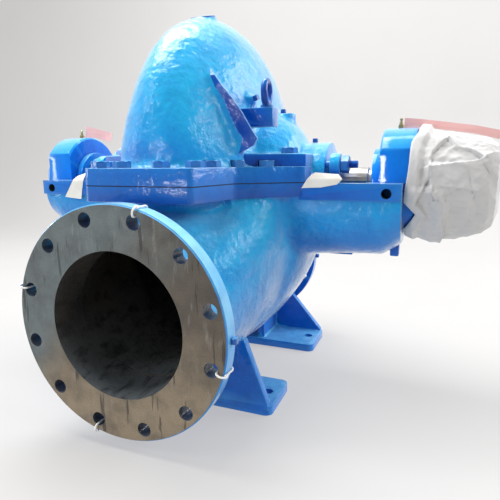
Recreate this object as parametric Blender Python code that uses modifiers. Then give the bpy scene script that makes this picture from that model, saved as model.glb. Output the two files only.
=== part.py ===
"""Horizontal split case, double suction pump with its casing, bearings and rotor.

Lengths are metres and +Z is up. The shapes are drawn in the pump's own frame: X runs along the
shaft towards the drive end, Y from the suction side to the discharge side, and the feet stand on
Z = 0. An empty then moves the whole pump so that its footprint is centred on the origin.
"""
import math

import bmesh
import bpy
from mathutils import Matrix, Vector

# Heights above the floor
SHAFT_Z = 0.450
NOZZLE_Z = 0.225
GAP = 0.0003
# The castings join too many grazing surfaces for the exact solver, which leaves open edges
CASTING_SOLVER = 'MANIFOLD'

# Parting joint: the casing halves with a gasket between them
GASKET_HALF = 0.0007
GASKET_INNER_Y = 0.05
LOWER_TOP = SHAFT_Z - GASKET_HALF - GAP
UPPER_BOTTOM = SHAFT_Z + GASKET_HALF + GAP
LOWER_FLANGE_BOTTOM = SHAFT_Z - 0.028
UPPER_FLANGE_TOP = SHAFT_Z + 0.031
PAD_TOP = SHAFT_Z + 0.056
PARTING_FRONT = (
    (0.240, -0.132, 0.004), (0.228, -0.132, 0.016), (0.128, -0.212, 0.020), (0.108, -0.344, 0.012),
)
PARTING_BACK = (
    (0.240, 0.132, 0.004), (0.228, 0.132, 0.016), (0.166, 0.165, 0.020),
    (0.142, 0.200, 0.020), (0.114, 0.245, 0.020),
)

# Suction nozzle and flange
SUCTION_FACE_Y = -0.420
SUCTION_FLANGE_R = 0.203
SUCTION_FLANGE_THICK = 0.030
SUCTION_BORE_R = 0.127
SUCTION_CIRCLE_R = 0.181
SUCTION_HOLES = 12
SUCTION_HOLE_R = 0.0127

# Discharge nozzle and flange
DISCHARGE_FACE_Y = 0.280
DISCHARGE_FLANGE_R = 0.1715
DISCHARGE_FLANGE_THICK = 0.0286
DISCHARGE_BORE_R = 0.1015
DISCHARGE_CIRCLE_R = 0.149
DISCHARGE_HOLES = 8
DISCHARGE_HOLE_R = 0.0111

# Volute: its radius about the shaft at angles from the discharge side, over the top
VOLUTE_HALF_WIDTH = 0.150
VOLUTE_POWERS = (
    (0, 2.40), (75, 2.40), (108, 2.20), (125, 2.02), (145, 2.00), (167, 2.45), (185, 2.60),
    (215, 2.40), (300, 2.40),
)
VOLUTE_RADII = (
    (0, 0.235), (45, 0.281), (90, 0.330), (112, 0.345), (140, 0.333),
    (162, 0.308), (180, 0.290), (225, 0.310), (270, 0.350), (315, 0.320),
)
WALL = 0.016
PASSAGE_HALF_WIDTH = 0.074
CHAMBER_HALF_WIDTH = 0.218
CHAMBER_R = 0.162
CHAMBER_POWER = 3.0
PLUG_BOSS_X = (0.155, 0.162)
PLUG_BOSS_TOP = SHAFT_Z + 0.144
EYE_R = 0.090

# Lifting bosses, and a plug on the drive side of the volute
BOSS_X = 0.187
BOSS_Y = (-0.168, -0.134)
BOSS_BOTTOM = SHAFT_Z + 0.105
BOSS_TOP = SHAFT_Z + 0.140
EYEBOLT = (0.1695, -0.151)
SIDE_PLUG = (0.129, -0.121, SHAFT_Z + 0.1605)
SIDE_PLUG_WAY = (0.85, -0.25, 0.30)
SIDE_PLUG_BOSS = 0.005

# Rib on the drive side of the volute: its free edge as (x, y, height over the shaft)
RIB_EDGE = (
    (0.0735, -0.197, 0.2140), (0.0900, -0.211, 0.1960), (0.1055, -0.212, 0.1750),
    (0.1235, -0.208, 0.1535), (0.1400, -0.203, 0.1280), (0.1560, -0.198, 0.0985),
    (0.1660, -0.194, 0.0830), (0.1580, -0.194, 0.0700), (0.1280, -0.192, 0.0560),
)
RIB_THICK = 0.009

# Suction branch on each side of the volute: x, y, height and radius along its centre line
BRANCH = (
    (0.036, -0.345, 0.254, 0.104), (0.052, -0.300, 0.265, 0.101), (0.076, -0.230, 0.290, 0.100),
    (0.094, -0.160, 0.325, 0.100), (0.100, -0.112, 0.375, 0.101), (0.102, -0.085, 0.450, 0.103),
)

# Stuffing boxes and glands
BOX_END_X = 0.265
BOX_R = 0.080
BOX_BORE_R = 0.046
GLAND_NOSE_R = 0.0454
GLAND_BORE_R = 0.0335
GLAND_PLATE = (0.2765, 0.290)
GLAND_EAR_R = 0.0225
STUD_Y = 0.060
STUD_Z = 0.034

# Bearing arms, which carry the bearing housings on both sides
ARM_END_X = 0.420
RAIL_Y = 0.132
RAIL_BOTTOM = SHAFT_Z - 0.034
TROUGH = (BOX_END_X - 0.002, 0.350)
TROUGH_HALF_WIDTH = 0.098
TROUGH_DEPTH = 0.126
RAIL_HOLE_X = 0.393
RAIL_HOLE_R = 0.0095

# Bearing housings and covers
HOUSING = (0.373, 0.441)
HOUSING_R = 0.105
HOUSING_FLAT_Y = 0.084
INNER_COVER_X = 0.3565
INNER_COVER_R = 0.066
OUTER_COVER_X = 0.455
OUTER_COVER_R = 0.078
BEARING_BORE_R = 0.0247

# Feet
FOOT_HALF_LENGTH = 0.205
FOOT_THICK = 0.019
FRONT_FOOT = (-0.228, -0.104)
REAR_FOOT = (0.105, 0.236)
FOOT_WEB = 0.018
FOOT_HOLE_X = 0.178
FOOT_HOLE_R = 0.0105

# Rotor
SHAFT_R = 0.024
SHAFT_ENDS = (-0.436, 0.570)
SHAFT_STEP_X = 0.441
SLEEVE = (0.1012, 0.346)
SLEEVE_R = 0.0275
IMPELLER_R = 0.165
IMPELLER_HALF_WIDTH = 0.052
IMPELLER_EYE_R = 0.084
IMPELLER_EYE_X = 0.098

# Foam wrap over the drive end, from beside the arm to past the end of the shaft
WRAP_START_X = ARM_END_X + 0.0015
WRAP_END_X = 0.592
WRAP_TOP = SHAFT_Z + 0.113
WRAP_LIP = ((0.4225, SHAFT_Z), (0.4475, WRAP_TOP + 0.002))

# Ties hooked through four of the suction flange holes
TIE_R = 0.0016
TIE_FRONT_Y = SUCTION_FACE_Y - 0.008
TIE_HOLES = (0, 3, 6, 9)

FRAME_SHIFT = (
    -(WRAP_END_X - OUTER_COVER_X) / 2,
    -(DISCHARGE_FACE_Y + TIE_FRONT_Y) / 2,
    0.0,
)

BLUE = (0.010, 0.150, 0.560)


def clear_scene():
    for obj in list(bpy.data.objects):
        bpy.data.objects.remove(obj, do_unlink=True)


def new_collection(name):
    collection = bpy.data.collections.new(name)
    bpy.context.scene.collection.children.link(collection)
    return collection


clear_scene()
PARTS = new_collection("split_case_pump")
CUTTERS = new_collection("cutters")

FRAME = bpy.data.objects.new("pump_frame", None)
FRAME.location = FRAME_SHIFT
PARTS.objects.link(FRAME)

ROTOR_AXIS = bpy.data.objects.new("rotor_axis", None)
ROTOR_AXIS.parent = FRAME
ROTOR_AXIS.location = (0.0, 0.0, SHAFT_Z)
PARTS.objects.link(ROTOR_AXIS)


def material(name, color, roughness, metallic=0.0):
    made = bpy.data.materials.new(name)
    made.use_nodes = True
    shader = made.node_tree.nodes["Principled BSDF"]
    shader.inputs["Base Color"].default_value = (*color, 1.0)
    shader.inputs["Roughness"].default_value = roughness
    shader.inputs["Metallic"].default_value = metallic
    return made


def smooth(mesh, angle=32):
    mesh.shade_smooth()
    mesh.set_sharp_from_angle(angle=math.radians(angle))


def to_mesh(bm, name, flat=True):
    """Makes a mesh with its faces pointing out, and its bent faces split into flat ones."""
    bmesh.ops.recalc_face_normals(bm, faces=bm.faces)
    if bm.faces and bm.calc_volume(signed=True) < 0.0:
        bmesh.ops.reverse_faces(bm, faces=bm.faces)
    if not flat:
        bmesh.ops.triangulate(bm, faces=bm.faces)
    mesh = bpy.data.meshes.new(name)
    bm.to_mesh(mesh)
    bm.free()
    return mesh


def add_part(name, mesh, look, parent=FRAME):
    """Adds one named piece of the pump."""
    obj = bpy.data.objects.new(name, mesh)
    PARTS.objects.link(obj)
    obj.parent = parent
    if parent is ROTOR_AXIS:
        mesh.transform(Matrix.Translation((0.0, 0.0, -SHAFT_Z)))
    mesh.materials.clear()
    mesh.materials.append(look)
    smooth(mesh)
    return obj


def add_guide(mesh):
    """Adds a shape that only unites with or cuts a piece."""
    obj = bpy.data.objects.new(mesh.name + "_guide", mesh)
    CUTTERS.objects.link(obj)
    obj.parent = FRAME
    obj.hide_render = True
    obj.display_type = 'WIRE'
    return obj


def combine(mesh, shapes, operation, solver='EXACT'):
    """Returns the mesh after a Boolean with each shape in turn."""
    base = add_guide(mesh)
    guides = [add_guide(shape) for shape in shapes]
    for guide in guides:
        step = base.modifiers.new(guide.name, 'BOOLEAN')
        step.operation = operation
        step.solver = solver
        step.object = guide
    bpy.context.view_layer.update()
    evaluated = base.evaluated_get(bpy.context.evaluated_depsgraph_get())
    result = bpy.data.meshes.new_from_object(evaluated)
    result.name = mesh.name
    for guide in [base] + guides:
        bpy.data.objects.remove(guide, do_unlink=True)
    return result


def unite(mesh, shapes, solver='EXACT'):
    return combine(mesh, shapes, 'UNION', solver)


def cut(mesh, shapes, solver='EXACT'):
    return combine(mesh, shapes, 'DIFFERENCE', solver)


def common(mesh, shapes):
    return combine(mesh, shapes, 'INTERSECT')


def box(name, low, high):
    bm = bmesh.new()
    bmesh.ops.create_cube(bm, size=1.0)
    size = [b - a for a, b in zip(low, high)]
    middle = [(a + b) / 2 for a, b in zip(low, high)]
    bm.transform(Matrix.Translation(middle) @ Matrix.Diagonal((*size, 1.0)))
    return to_mesh(bm, name)


def rod(name, start, end, radius, segments=24, end_radius=None, turn=0.0):
    """A cylinder or a cone from start to end."""
    start = Vector(start)
    end = Vector(end)
    along = end - start
    tip = radius if end_radius is None else end_radius
    bm = bmesh.new()
    bmesh.ops.create_cone(bm, cap_ends=True, segments=segments, radius1=radius, radius2=tip,
                          depth=along.length)
    turned = Vector((0, 0, 1)).rotation_difference(along).to_matrix().to_4x4()
    spin = Matrix.Rotation(turn, 4, 'Z')
    bm.transform(Matrix.Translation((start + end) / 2) @ turned @ spin)
    return to_mesh(bm, name)


ONTO_SHAFT = Matrix.Translation((0, 0, SHAFT_Z)) @ Matrix.Rotation(math.pi / 2, 4, 'Y')


def turned(name, profile, steps=32, ring=False, placed=ONTO_SHAFT):
    """A turned piece from (along, radius) pairs, which close into a ring or end on the axis."""
    bm = bmesh.new()
    points = [bm.verts.new((radius, 0.0, along)) for along, radius in profile]
    pairs = list(zip(points, points[1:]))
    if ring:
        pairs.append((points[-1], points[0]))
    for first, second in pairs:
        bm.edges.new((first, second))
    source = bpy.data.objects.new(name, to_mesh(bm, name))
    CUTTERS.objects.link(source)
    screw = source.modifiers.new("turn", 'SCREW')
    screw.steps = steps
    screw.render_steps = steps
    screw.use_merge_vertices = True
    screw.merge_threshold = 0.00005
    bpy.context.view_layer.update()
    evaluated = source.evaluated_get(bpy.context.evaluated_depsgraph_get())
    mesh = bpy.data.meshes.new_from_object(evaluated)
    bpy.data.objects.remove(source, do_unlink=True)
    bm = bmesh.new()
    bm.from_mesh(mesh)
    bpy.data.meshes.remove(mesh)
    bmesh.ops.remove_doubles(bm, verts=bm.verts, dist=0.00005)
    bm.transform(placed)
    return to_mesh(bm, name)


def rounded(corners, steps=4):
    """The points of an outline whose corners (x, y, radius) are rounded by arcs."""
    points = []
    count = len(corners)
    for index, (x, y, radius) in enumerate(corners):
        here = Vector((x, y))
        if radius <= 0.0:
            points.append(here)
            continue
        before = (Vector(corners[index - 1][:2]) - here).normalized()
        after = (Vector(corners[(index + 1) % count][:2]) - here).normalized()
        half = before.angle(after) / 2
        middle = here + (before + after).normalized() * (radius / math.sin(half))
        inset = radius / math.tan(half)
        start = here + before * inset - middle
        end = here + after * inset - middle
        first = math.atan2(start.y, start.x)
        sweep = (math.atan2(end.y, end.x) - first + math.pi) % math.tau - math.pi
        for step in range(steps + 1):
            angle = first + sweep * step / steps
            points.append(middle + Vector((math.cos(angle), math.sin(angle))) * radius)
    return points


def curve_mesh(name, curve):
    """The closed surface of a curve that has a thickness."""
    source = bpy.data.objects.new(name, curve)
    CUTTERS.objects.link(source)
    bpy.context.view_layer.update()
    evaluated = source.evaluated_get(bpy.context.evaluated_depsgraph_get())
    raw = bpy.data.meshes.new_from_object(evaluated)
    bpy.data.objects.remove(source, do_unlink=True)
    bm = bmesh.new()
    bm.from_mesh(raw)
    bpy.data.meshes.remove(raw)
    bmesh.ops.remove_doubles(bm, verts=bm.verts, dist=0.00001)
    return to_mesh(bm, name, flat=False)


def prism(name, corners, low, high, placed=None, steps=4):
    """A flat outline of rounded corners given a thickness from low to high."""
    curve = bpy.data.curves.new(name, 'CURVE')
    curve.dimensions = '2D'
    curve.fill_mode = 'BOTH'
    curve.extrude = (high - low) / 2
    spline = curve.splines.new('POLY')
    points = rounded(corners, steps)
    spline.points.add(len(points) - 1)
    for place, point in zip(spline.points, points):
        place.co = (point[0], point[1], 0.0, 1.0)
    spline.use_cyclic_u = True
    source = bpy.data.objects.new(name, curve)
    CUTTERS.objects.link(source)
    bpy.context.view_layer.update()
    evaluated = source.evaluated_get(bpy.context.evaluated_depsgraph_get())
    raw = bpy.data.meshes.new_from_object(evaluated)
    bpy.data.objects.remove(source, do_unlink=True)
    bm = bmesh.new()
    bm.from_mesh(raw)
    bmesh.ops.remove_doubles(bm, verts=bm.verts, dist=0.00001)
    bm.transform(Matrix.Translation((0, 0, (low + high) / 2)))
    if placed is not None:
        bm.transform(placed)
    return to_mesh(bm, name)


def loft(name, rings):
    """A closed body through rings that have the same number of points."""
    bm = bmesh.new()
    loops = [[bm.verts.new(point) for point in ring] for ring in rings]
    count = len(loops[0])
    for near, far in zip(loops, loops[1:]):
        for index in range(count):
            after = (index + 1) % count
            bm.faces.new((near[index], near[after], far[after], far[index]))
    bm.faces.new(loops[0])
    bm.faces.new(list(reversed(loops[-1])))
    return to_mesh(bm, name, flat=False)


def power(value, exponent):
    return math.copysign(abs(value) ** exponent, value)


def through_knots(knots, angle):
    """A smooth closed curve of radius by angle through the given knots, in degrees."""
    angles = [knot[0] for knot in knots]
    radii = [knot[1] for knot in knots]
    count = len(knots)
    angle = angle % 360
    index = max(i for i in range(count) if angles[i] <= angle)
    spans = [angles[(index + k) % count] + 360 * ((index + k) // count) for k in (-1, 0, 1, 2)]
    values = [radii[(index + k) % count] for k in (-1, 0, 1, 2)]
    width = spans[2] - spans[1]
    t = (angle - spans[1]) / width
    slope_in = (values[2] - values[0]) / (spans[2] - spans[0]) * width
    slope_out = (values[3] - values[1]) / (spans[3] - spans[1]) * width
    return ((2 * t ** 3 - 3 * t ** 2 + 1) * values[1] + (t ** 3 - 2 * t ** 2 + t) * slope_in
            + (-2 * t ** 3 + 3 * t ** 2) * values[2] + (t ** 3 - t ** 2) * slope_out)


def about_shaft(name, half_width, radius_at, exponent_at, around=30, across=12, phase=0.0):
    """A rounded body about the shaft, whose radius and fullness depend on the angle around it.

    The phase, in degrees, keeps the edges of nested bodies from crossing each other exactly.
    """
    bm = bmesh.new()
    bmesh.ops.create_uvsphere(bm, u_segments=around, v_segments=across, radius=1.0)
    for vert in bm.verts:
        axial = max(-1.0, min(1.0, vert.co.z))
        polar = math.acos(axial)
        angle = (math.degrees(math.atan2(vert.co.y, vert.co.x)) + phase) % 360
        exponent = exponent_at(angle)
        radius = radius_at(angle) * power(math.sin(polar), 2 / exponent)
        vert.co = (half_width * power(axial, 2 / exponent),
                   radius * math.cos(math.radians(angle)),
                   SHAFT_Z + radius * math.sin(math.radians(angle)))
    return to_mesh(bm, name, flat=False)


def volute(name, half_width, inset=0.0, phase=0.0):
    return about_shaft(name, half_width, lambda angle: through_knots(VOLUTE_RADII, angle) - inset,
                       lambda angle: through_knots(VOLUTE_POWERS, angle), phase=phase)


def chamber(name, inset=0.0, phase=5.0):
    return about_shaft(name, CHAMBER_HALF_WIDTH - inset, lambda angle: CHAMBER_R - inset,
                       lambda angle: CHAMBER_POWER, around=24, phase=phase)


def passages(suction):
    """The hollows of the casing: suction chambers around the volute's wall, volute and bores."""
    chambers = chamber("chamber_hollow", WALL, phase=7.1)
    if suction:
        chambers = unite(chambers, [suction_body("suction_hollow", WALL)], CASTING_SOLVER)
    nose = volute("nose", PASSAGE_HALF_WIDTH + WALL, phase=3.3)
    return [
        cut(chambers, [nose], CASTING_SOLVER),
        volute("volute_hollow", PASSAGE_HALF_WIDTH, WALL, phase=1.7),
        rod("eyes", (-0.16, 0, SHAFT_Z), (0.16, 0, SHAFT_Z), EYE_R, 24, turn=0.05),
        rod("box_bores", (-0.30, 0, SHAFT_Z), (0.30, 0, SHAFT_Z), BOX_BORE_R, 32, turn=0.03),
    ]


def egg_ring(y, half_width, middle_z, up, down, exponent, inset=0.0, points=24):
    """A ring across Y whose top and bottom have their own heights."""
    ring = []
    for index in range(points):
        angle = 2 * math.pi * index / points
        x = (half_width - inset) * power(math.cos(angle), 2 / exponent)
        reach = (up if math.sin(angle) >= 0 else down) - inset
        z = middle_z + reach * power(math.sin(angle), 2 / exponent)
        ring.append((x, y, z))
    return ring


# Suction passage: y, half width, height of the widest point, reach up, reach down, power
SUCTION_RINGS = (
    (-0.400, 0.150, 0.225, 0.150, 0.150, 2.0),
    (-0.350, 0.152, 0.228, 0.155, 0.152, 2.0),
    (-0.280, 0.168, 0.250, 0.160, 0.172, 2.0),
    (-0.200, 0.188, 0.285, 0.140, 0.210, 2.0),
    (-0.125, 0.202, 0.325, 0.110, 0.257, 1.95),
    (-0.090, 0.224, 0.340, 0.095, 0.273, 1.85),
    (-0.040, 0.240, 0.350, 0.085, 0.285, 1.75),
    (0.040, 0.240, 0.355, 0.080, 0.270, 1.8),
    (0.110, 0.205, 0.350, 0.075, 0.205, 2.0),
    (0.150, 0.140, 0.345, 0.055, 0.130, 2.0),
)
DISCHARGE_RINGS = (
    (0.020, 0.125, 0.260, 0.120, 0.150, 2.6),
    (0.120, 0.124, 0.245, 0.130, 0.140, 2.3),
    (0.200, 0.121, 0.230, 0.124, 0.124, 2.0),
    (0.262, 0.119, 0.225, 0.119, 0.119, 2.0),
)


def suction_branch(name, side):
    """The shoulder of the suction passage, from the nozzle up to one side's chamber."""
    curve = bpy.data.curves.new(name, 'CURVE')
    curve.dimensions = '3D'
    curve.bevel_depth = 1.0
    curve.bevel_resolution = 3
    curve.use_fill_caps = True
    spline = curve.splines.new('POLY')
    spline.points.add(len(BRANCH) - 1)
    for point, (x, y, z, radius) in zip(spline.points, BRANCH):
        point.co = (side * x, y, z, 1.0)
        point.radius = radius
    return curve_mesh(name, curve)


def suction_body(name, inset=0.0):
    stations = SUCTION_RINGS if inset == 0.0 else SUCTION_RINGS[1:-1]
    return loft(name, [egg_ring(*station, inset=inset) for station in stations])


def parting_outline():
    """The parting flange's outline, the same on both sides of the volute."""
    left_front = [(-x, y, r) for x, y, r in PARTING_FRONT]
    left_back = [(-x, y, r) for x, y, r in PARTING_BACK]
    right = list(reversed(PARTING_FRONT)) + list(PARTING_BACK)
    left = list(reversed(left_back)) + left_front
    return right + left


def mirrored(side, low, high):
    """The low and high corners of a box on the side where the sign of X is side."""
    ends = sorted((side * low[0], side * high[0]))
    return (ends[0], *low[1:]), (ends[1], *high[1:])


def flange_holes(name, face_y, centre_z, circle_r, count, radius, thick, segments=8):
    holes = []
    for index in range(count):
        angle = math.tau * (index + 0.5) / count
        x = circle_r * math.sin(angle)
        z = centre_z + circle_r * math.cos(angle)
        inward = -1 if face_y > 0 else 1
        start = (x, face_y - inward * 0.005, z)
        end = (x, face_y + inward * (thick + 0.006), z)
        holes.append(rod(name, start, end, radius, segments))
    return holes


def arm_ring(x, depth, half_width, exponent, top=SHAFT_Z - 0.015, points=8):
    """The outline of a bearing arm across the shaft, open side up."""
    ring = []
    for index in range(points + 1):
        angle = math.pi * index / points
        y = half_width * power(math.cos(angle), 2 / exponent)
        z = SHAFT_Z - 0.03 - (depth - 0.03) * power(math.sin(angle), 2 / exponent)
        ring.append((x, y, z))
    ring.append((x, -half_width, top))
    ring.append((x, half_width, top))
    return ring


def arm_shapes(side):
    stations = (
        (0.150, 0.175, 0.127, 3.4), (0.210, 0.160, 0.127, 3.4), (0.300, 0.150, 0.127, 3.4),
        (0.384, 0.148, 0.127, 3.2), (0.402, 0.138, 0.127, 2.9), (ARM_END_X, 0.124, 0.125, 2.6),
    )
    if side < 0:
        stations = (
            (0.150, 0.175, 0.127, 2.8), (0.210, 0.160, 0.127, 2.6), (0.300, 0.150, 0.126, 2.4),
            (0.384, 0.145, 0.125, 2.2), (0.402, 0.130, 0.124, 2.1), (ARM_END_X, 0.118, 0.122, 2.0),
        )
    arm = loft("arm", [arm_ring(side * x, *shape) for x, *shape in stations])
    rail = box("rail", *mirrored(side, (0.230, -RAIL_Y + 0.0002, RAIL_BOTTOM),
                                 (ARM_END_X, RAIL_Y - 0.0002, LOWER_TOP + 0.03)))
    lug = box("lug", *mirrored(side, (0.396, -0.020, SHAFT_Z - 0.156),
                               (0.414, 0.020, SHAFT_Z - 0.110)))
    drain = box("drain", *mirrored(side, (0.242, -0.014, SHAFT_Z - 0.160),
                                   (0.318, 0.014, SHAFT_Z - 0.140)))
    return [arm, rail, lug, drain]


def arm_cuts(side):
    low, high = TROUGH
    trough = loft("trough", [
        arm_ring(side * x, TROUGH_DEPTH, TROUGH_HALF_WIDTH, 2.4, top=SHAFT_Z + 0.02)
        for x in (low, high)])
    saddle = rod("saddle", (side * (HOUSING[0] - 0.001), 0, SHAFT_Z), (side * 0.47, 0, SHAFT_Z),
                 HOUSING_R + 0.0006, 40)
    limit = box("limit", *mirrored(side, (0.35, -HOUSING_FLAT_Y - GAP, SHAFT_Z - 0.2),
                                   (0.48, HOUSING_FLAT_Y + GAP, SHAFT_Z + 0.2)))
    saddle = common(saddle, [limit])
    cover = rod("cover", (side * (low + 0.05), 0, SHAFT_Z), (side * (HOUSING[0] + 0.005), 0, SHAFT_Z),
                INNER_COVER_R + 0.0008, 32)
    hole = rod("hole", (side * RAIL_HOLE_X, -RAIL_Y - 0.01, SHAFT_Z - 0.019),
               (side * RAIL_HOLE_X, -HOUSING_FLAT_Y + 0.002, SHAFT_Z - 0.019), RAIL_HOLE_R, 12)
    back = rod("hole", (side * RAIL_HOLE_X, RAIL_Y + 0.01, SHAFT_Z - 0.019),
               (side * RAIL_HOLE_X, HOUSING_FLAT_Y - 0.002, SHAFT_Z - 0.019), RAIL_HOLE_R, 12)
    return [trough, saddle, cover, hole, back]


def foot_shapes():
    """Two L section feet along the shaft, with a web at each outer edge."""
    shapes = []
    for (low_y, high_y), outward, shoulder_x, shoulder_z in (
            (FRONT_FOOT, -1, 0.150, 0.150), (REAR_FOOT, 1, 0.090, 0.150)):
        plate = prism("foot", [(-FOOT_HALF_LENGTH, low_y, 0.016), (FOOT_HALF_LENGTH, low_y, 0.016),
                               (FOOT_HALF_LENGTH, high_y, 0.016), (-FOOT_HALF_LENGTH, high_y, 0.016)],
                      0.0, FOOT_THICK, steps=2)
        shapes.append(plate)
        web_low = low_y if outward < 0 else high_y - FOOT_WEB
        upright = Matrix.Translation((0, web_low + FOOT_WEB / 2, 0)) @ Matrix.Rotation(math.pi / 2, 4, 'X')
        web = prism("web", [(-0.200, 0.010, 0), (0.200, 0.010, 0), (0.198, 0.024, 0),
                            (shoulder_x, shoulder_z, 0), (-shoulder_x, shoulder_z, 0),
                            (-0.198, 0.024, 0)],
                    -FOOT_WEB / 2, FOOT_WEB / 2, placed=upright)
        shapes.append(web)
        for side in (-1, 1):
            inner_y = high_y if outward < 0 else low_y
            ends = sorted((web_low + FOOT_WEB / 2, inner_y - math.copysign(0.01, inner_y - web_low)))
            shapes.append(box("stem", *mirrored(side, (0.050, ends[0], 0.010), (0.068, ends[1], 0.120))))
    return shapes


def foot_cuts():
    cuts = []
    for y in ((FRONT_FOOT[0] + FRONT_FOOT[1]) / 2, (REAR_FOOT[0] + REAR_FOOT[1]) / 2):
        for side in (-1, 1):
            cuts.append(rod("foot_hole", (side * FOOT_HOLE_X, y, -0.01), (side * FOOT_HOLE_X, y, 0.04),
                            FOOT_HOLE_R, 12))
    return cuts


def lower_casing():
    """The bottom half: nozzles, suction passage, half volute, bearing arms and feet."""
    casing = prism("lower_casing", parting_outline(), LOWER_FLANGE_BOTTOM, LOWER_TOP + 0.02)
    shapes = [
        suction_body("suction_body"),
        volute("volute_body", VOLUTE_HALF_WIDTH - 0.02),
        chamber("chamber_body"),
        suction_branch("branch_outboard", -1),
        suction_branch("branch_drive", 1),
        loft("discharge_neck", [egg_ring(*station) for station in DISCHARGE_RINGS]),
        rod("suction_flange", (0, SUCTION_FACE_Y, NOZZLE_Z),
            (0, SUCTION_FACE_Y + SUCTION_FLANGE_THICK, NOZZLE_Z), SUCTION_FLANGE_R, 48),
        rod("discharge_flange", (0, DISCHARGE_FACE_Y, NOZZLE_Z),
            (0, DISCHARGE_FACE_Y - DISCHARGE_FLANGE_THICK, NOZZLE_Z), DISCHARGE_FLANGE_R, 40),
        rod("stuffing_boxes", (-BOX_END_X, 0, SHAFT_Z), (BOX_END_X, 0, SHAFT_Z), BOX_R, 32,
            turn=0.04),
    ]
    for side in (-1, 1):
        shapes += arm_shapes(side)
    shapes += foot_shapes()
    casing = unite(casing, shapes, CASTING_SOLVER)
    cuts = passages(suction=True) + [
        rod("suction_bore", (0, SUCTION_FACE_Y - 0.02, NOZZLE_Z), (0, -0.330, NOZZLE_Z),
            SUCTION_BORE_R, 36),
        rod("discharge_bore", (0, DISCHARGE_FACE_Y + 0.02, NOZZLE_Z), (0, 0.199, NOZZLE_Z),
            DISCHARGE_BORE_R, 32, turn=0.05),
        rod("discharge_throat", (0, 0.200, NOZZLE_Z), (0, 0.115, NOZZLE_Z),
            DISCHARGE_BORE_R, 32, end_radius=0.060, turn=0.05),
        box("above", (-0.7, -0.6, LOWER_TOP), (0.7, 0.6, 1.2)),
    ]
    for side in (-1, 1):
        cuts += arm_cuts(side)
    cuts += foot_cuts()
    cuts += flange_holes("suction_hole", SUCTION_FACE_Y, NOZZLE_Z, SUCTION_CIRCLE_R, SUCTION_HOLES,
                         SUCTION_HOLE_R, SUCTION_FLANGE_THICK)
    cuts += flange_holes("discharge_hole", DISCHARGE_FACE_Y, NOZZLE_Z, DISCHARGE_CIRCLE_R,
                         DISCHARGE_HOLES, DISCHARGE_HOLE_R, DISCHARGE_FLANGE_THICK)
    return cut(casing, cuts, CASTING_SOLVER)


def lifting_boss(side):
    """A lug on the drive side at the front, or on the other side at the back."""
    near, far = sorted((side * BOSS_Y[0], side * BOSS_Y[1]))
    return box("boss", *mirrored(side, (0.030, near, BOSS_BOTTOM), (BOSS_X, far, BOSS_TOP)))


def rib(side):
    """A web beside each lifting lug, down to the suction chamber."""
    rings = []
    for x, y, z in RIB_EDGE:
        height = SHAFT_Z + z
        corners = ((x, y), (x - 0.001, y + RIB_THICK), (x - 0.085, y + RIB_THICK + 0.030),
                   (x - 0.085, y + 0.012))
        rings.append([(side * a, side * b, height) for a, b in corners])
    return loft("rib", rings)


def upper_casing():
    """The top half: volute, suction chambers, stuffing boxes, webs and lifting bosses."""
    casing = prism("upper_casing", parting_outline(), UPPER_BOTTOM - 0.02, UPPER_FLANGE_TOP)
    shapes = [
        volute("volute_dome", VOLUTE_HALF_WIDTH),
        chamber("chamber_dome"),
        rod("stuffing_tops", (-BOX_END_X, 0, SHAFT_Z), (BOX_END_X, 0, SHAFT_Z), BOX_R, 32, turn=0.04),
        rod("crown_boss", (0.008, -0.078, SHAFT_Z + 0.290), (0.008, -0.091, SHAFT_Z + 0.3345), 0.026, 20),
    ]
    for side in (-1, 1):
        pad = [(side * 0.098, -0.192, 0.006), (side * 0.222, -0.128, 0.02),
               (side * 0.238, -0.118, 0.004), (side * 0.238, 0.118, 0.004),
               (side * 0.098, 0.146, 0.01)]
        if side < 0:
            pad.reverse()
        shapes.append(prism("pad", pad, SHAFT_Z, PAD_TOP))
        shapes.append(lifting_boss(side))
        shapes.append(rib(side))
        shapes.append(rod("plug_boss", (side * PLUG_BOSS_X[1], 0, SHAFT_Z + 0.10),
                          (side * PLUG_BOSS_X[1], 0, PLUG_BOSS_TOP), 0.020, 14))
    way = Vector(SIDE_PLUG_WAY).normalized()
    shapes.append(rod("side_boss", Vector(SIDE_PLUG) - way * 0.03,
                      Vector(SIDE_PLUG) + way * SIDE_PLUG_BOSS, 0.010, 14))
    casing = unite(casing, shapes, CASTING_SOLVER)
    cuts = passages(suction=False) + [
        box("below", (-0.7, -0.6, 0.0), (0.7, 0.6, UPPER_BOTTOM)),
    ]
    return cut(casing, cuts, CASTING_SOLVER)


def parting_gasket(name, side):
    """One side of the thin joint between the halves, open over the passages."""
    sheet = prism(name, parting_outline(), SHAFT_Z - GASKET_HALF, SHAFT_Z + GASKET_HALF)
    openings = [
        volute("volute_hollow", PASSAGE_HALF_WIDTH + 0.03, 0.012),
        chamber("chamber_hollow", 0.012),
        box("other_side", (-0.3, min(side * GASKET_INNER_Y, -side * 0.5), 0.4),
            (0.3, max(side * GASKET_INNER_Y, -side * 0.5), 0.5)),
    ]
    return cut(sheet, openings, CASTING_SOLVER)


def bearing_housing(name, side):
    """A round cartridge with two flats, bored for the shaft."""
    low, high = HOUSING
    profile = ((low, BEARING_BORE_R), (low, HOUSING_R - 0.004), (low + 0.004, HOUSING_R),
               (high - 0.004, HOUSING_R), (high, HOUSING_R - 0.004), (high, BEARING_BORE_R))
    drum = turned(name, [(side * x, r) for x, r in profile], steps=40, ring=True)
    limit = box("limit", *mirrored(side, (low - 0.02, -HOUSING_FLAT_Y, SHAFT_Z - 0.2),
                                   (high + 0.02, HOUSING_FLAT_Y, SHAFT_Z + 0.2)))
    return common(drum, [limit])


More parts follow.
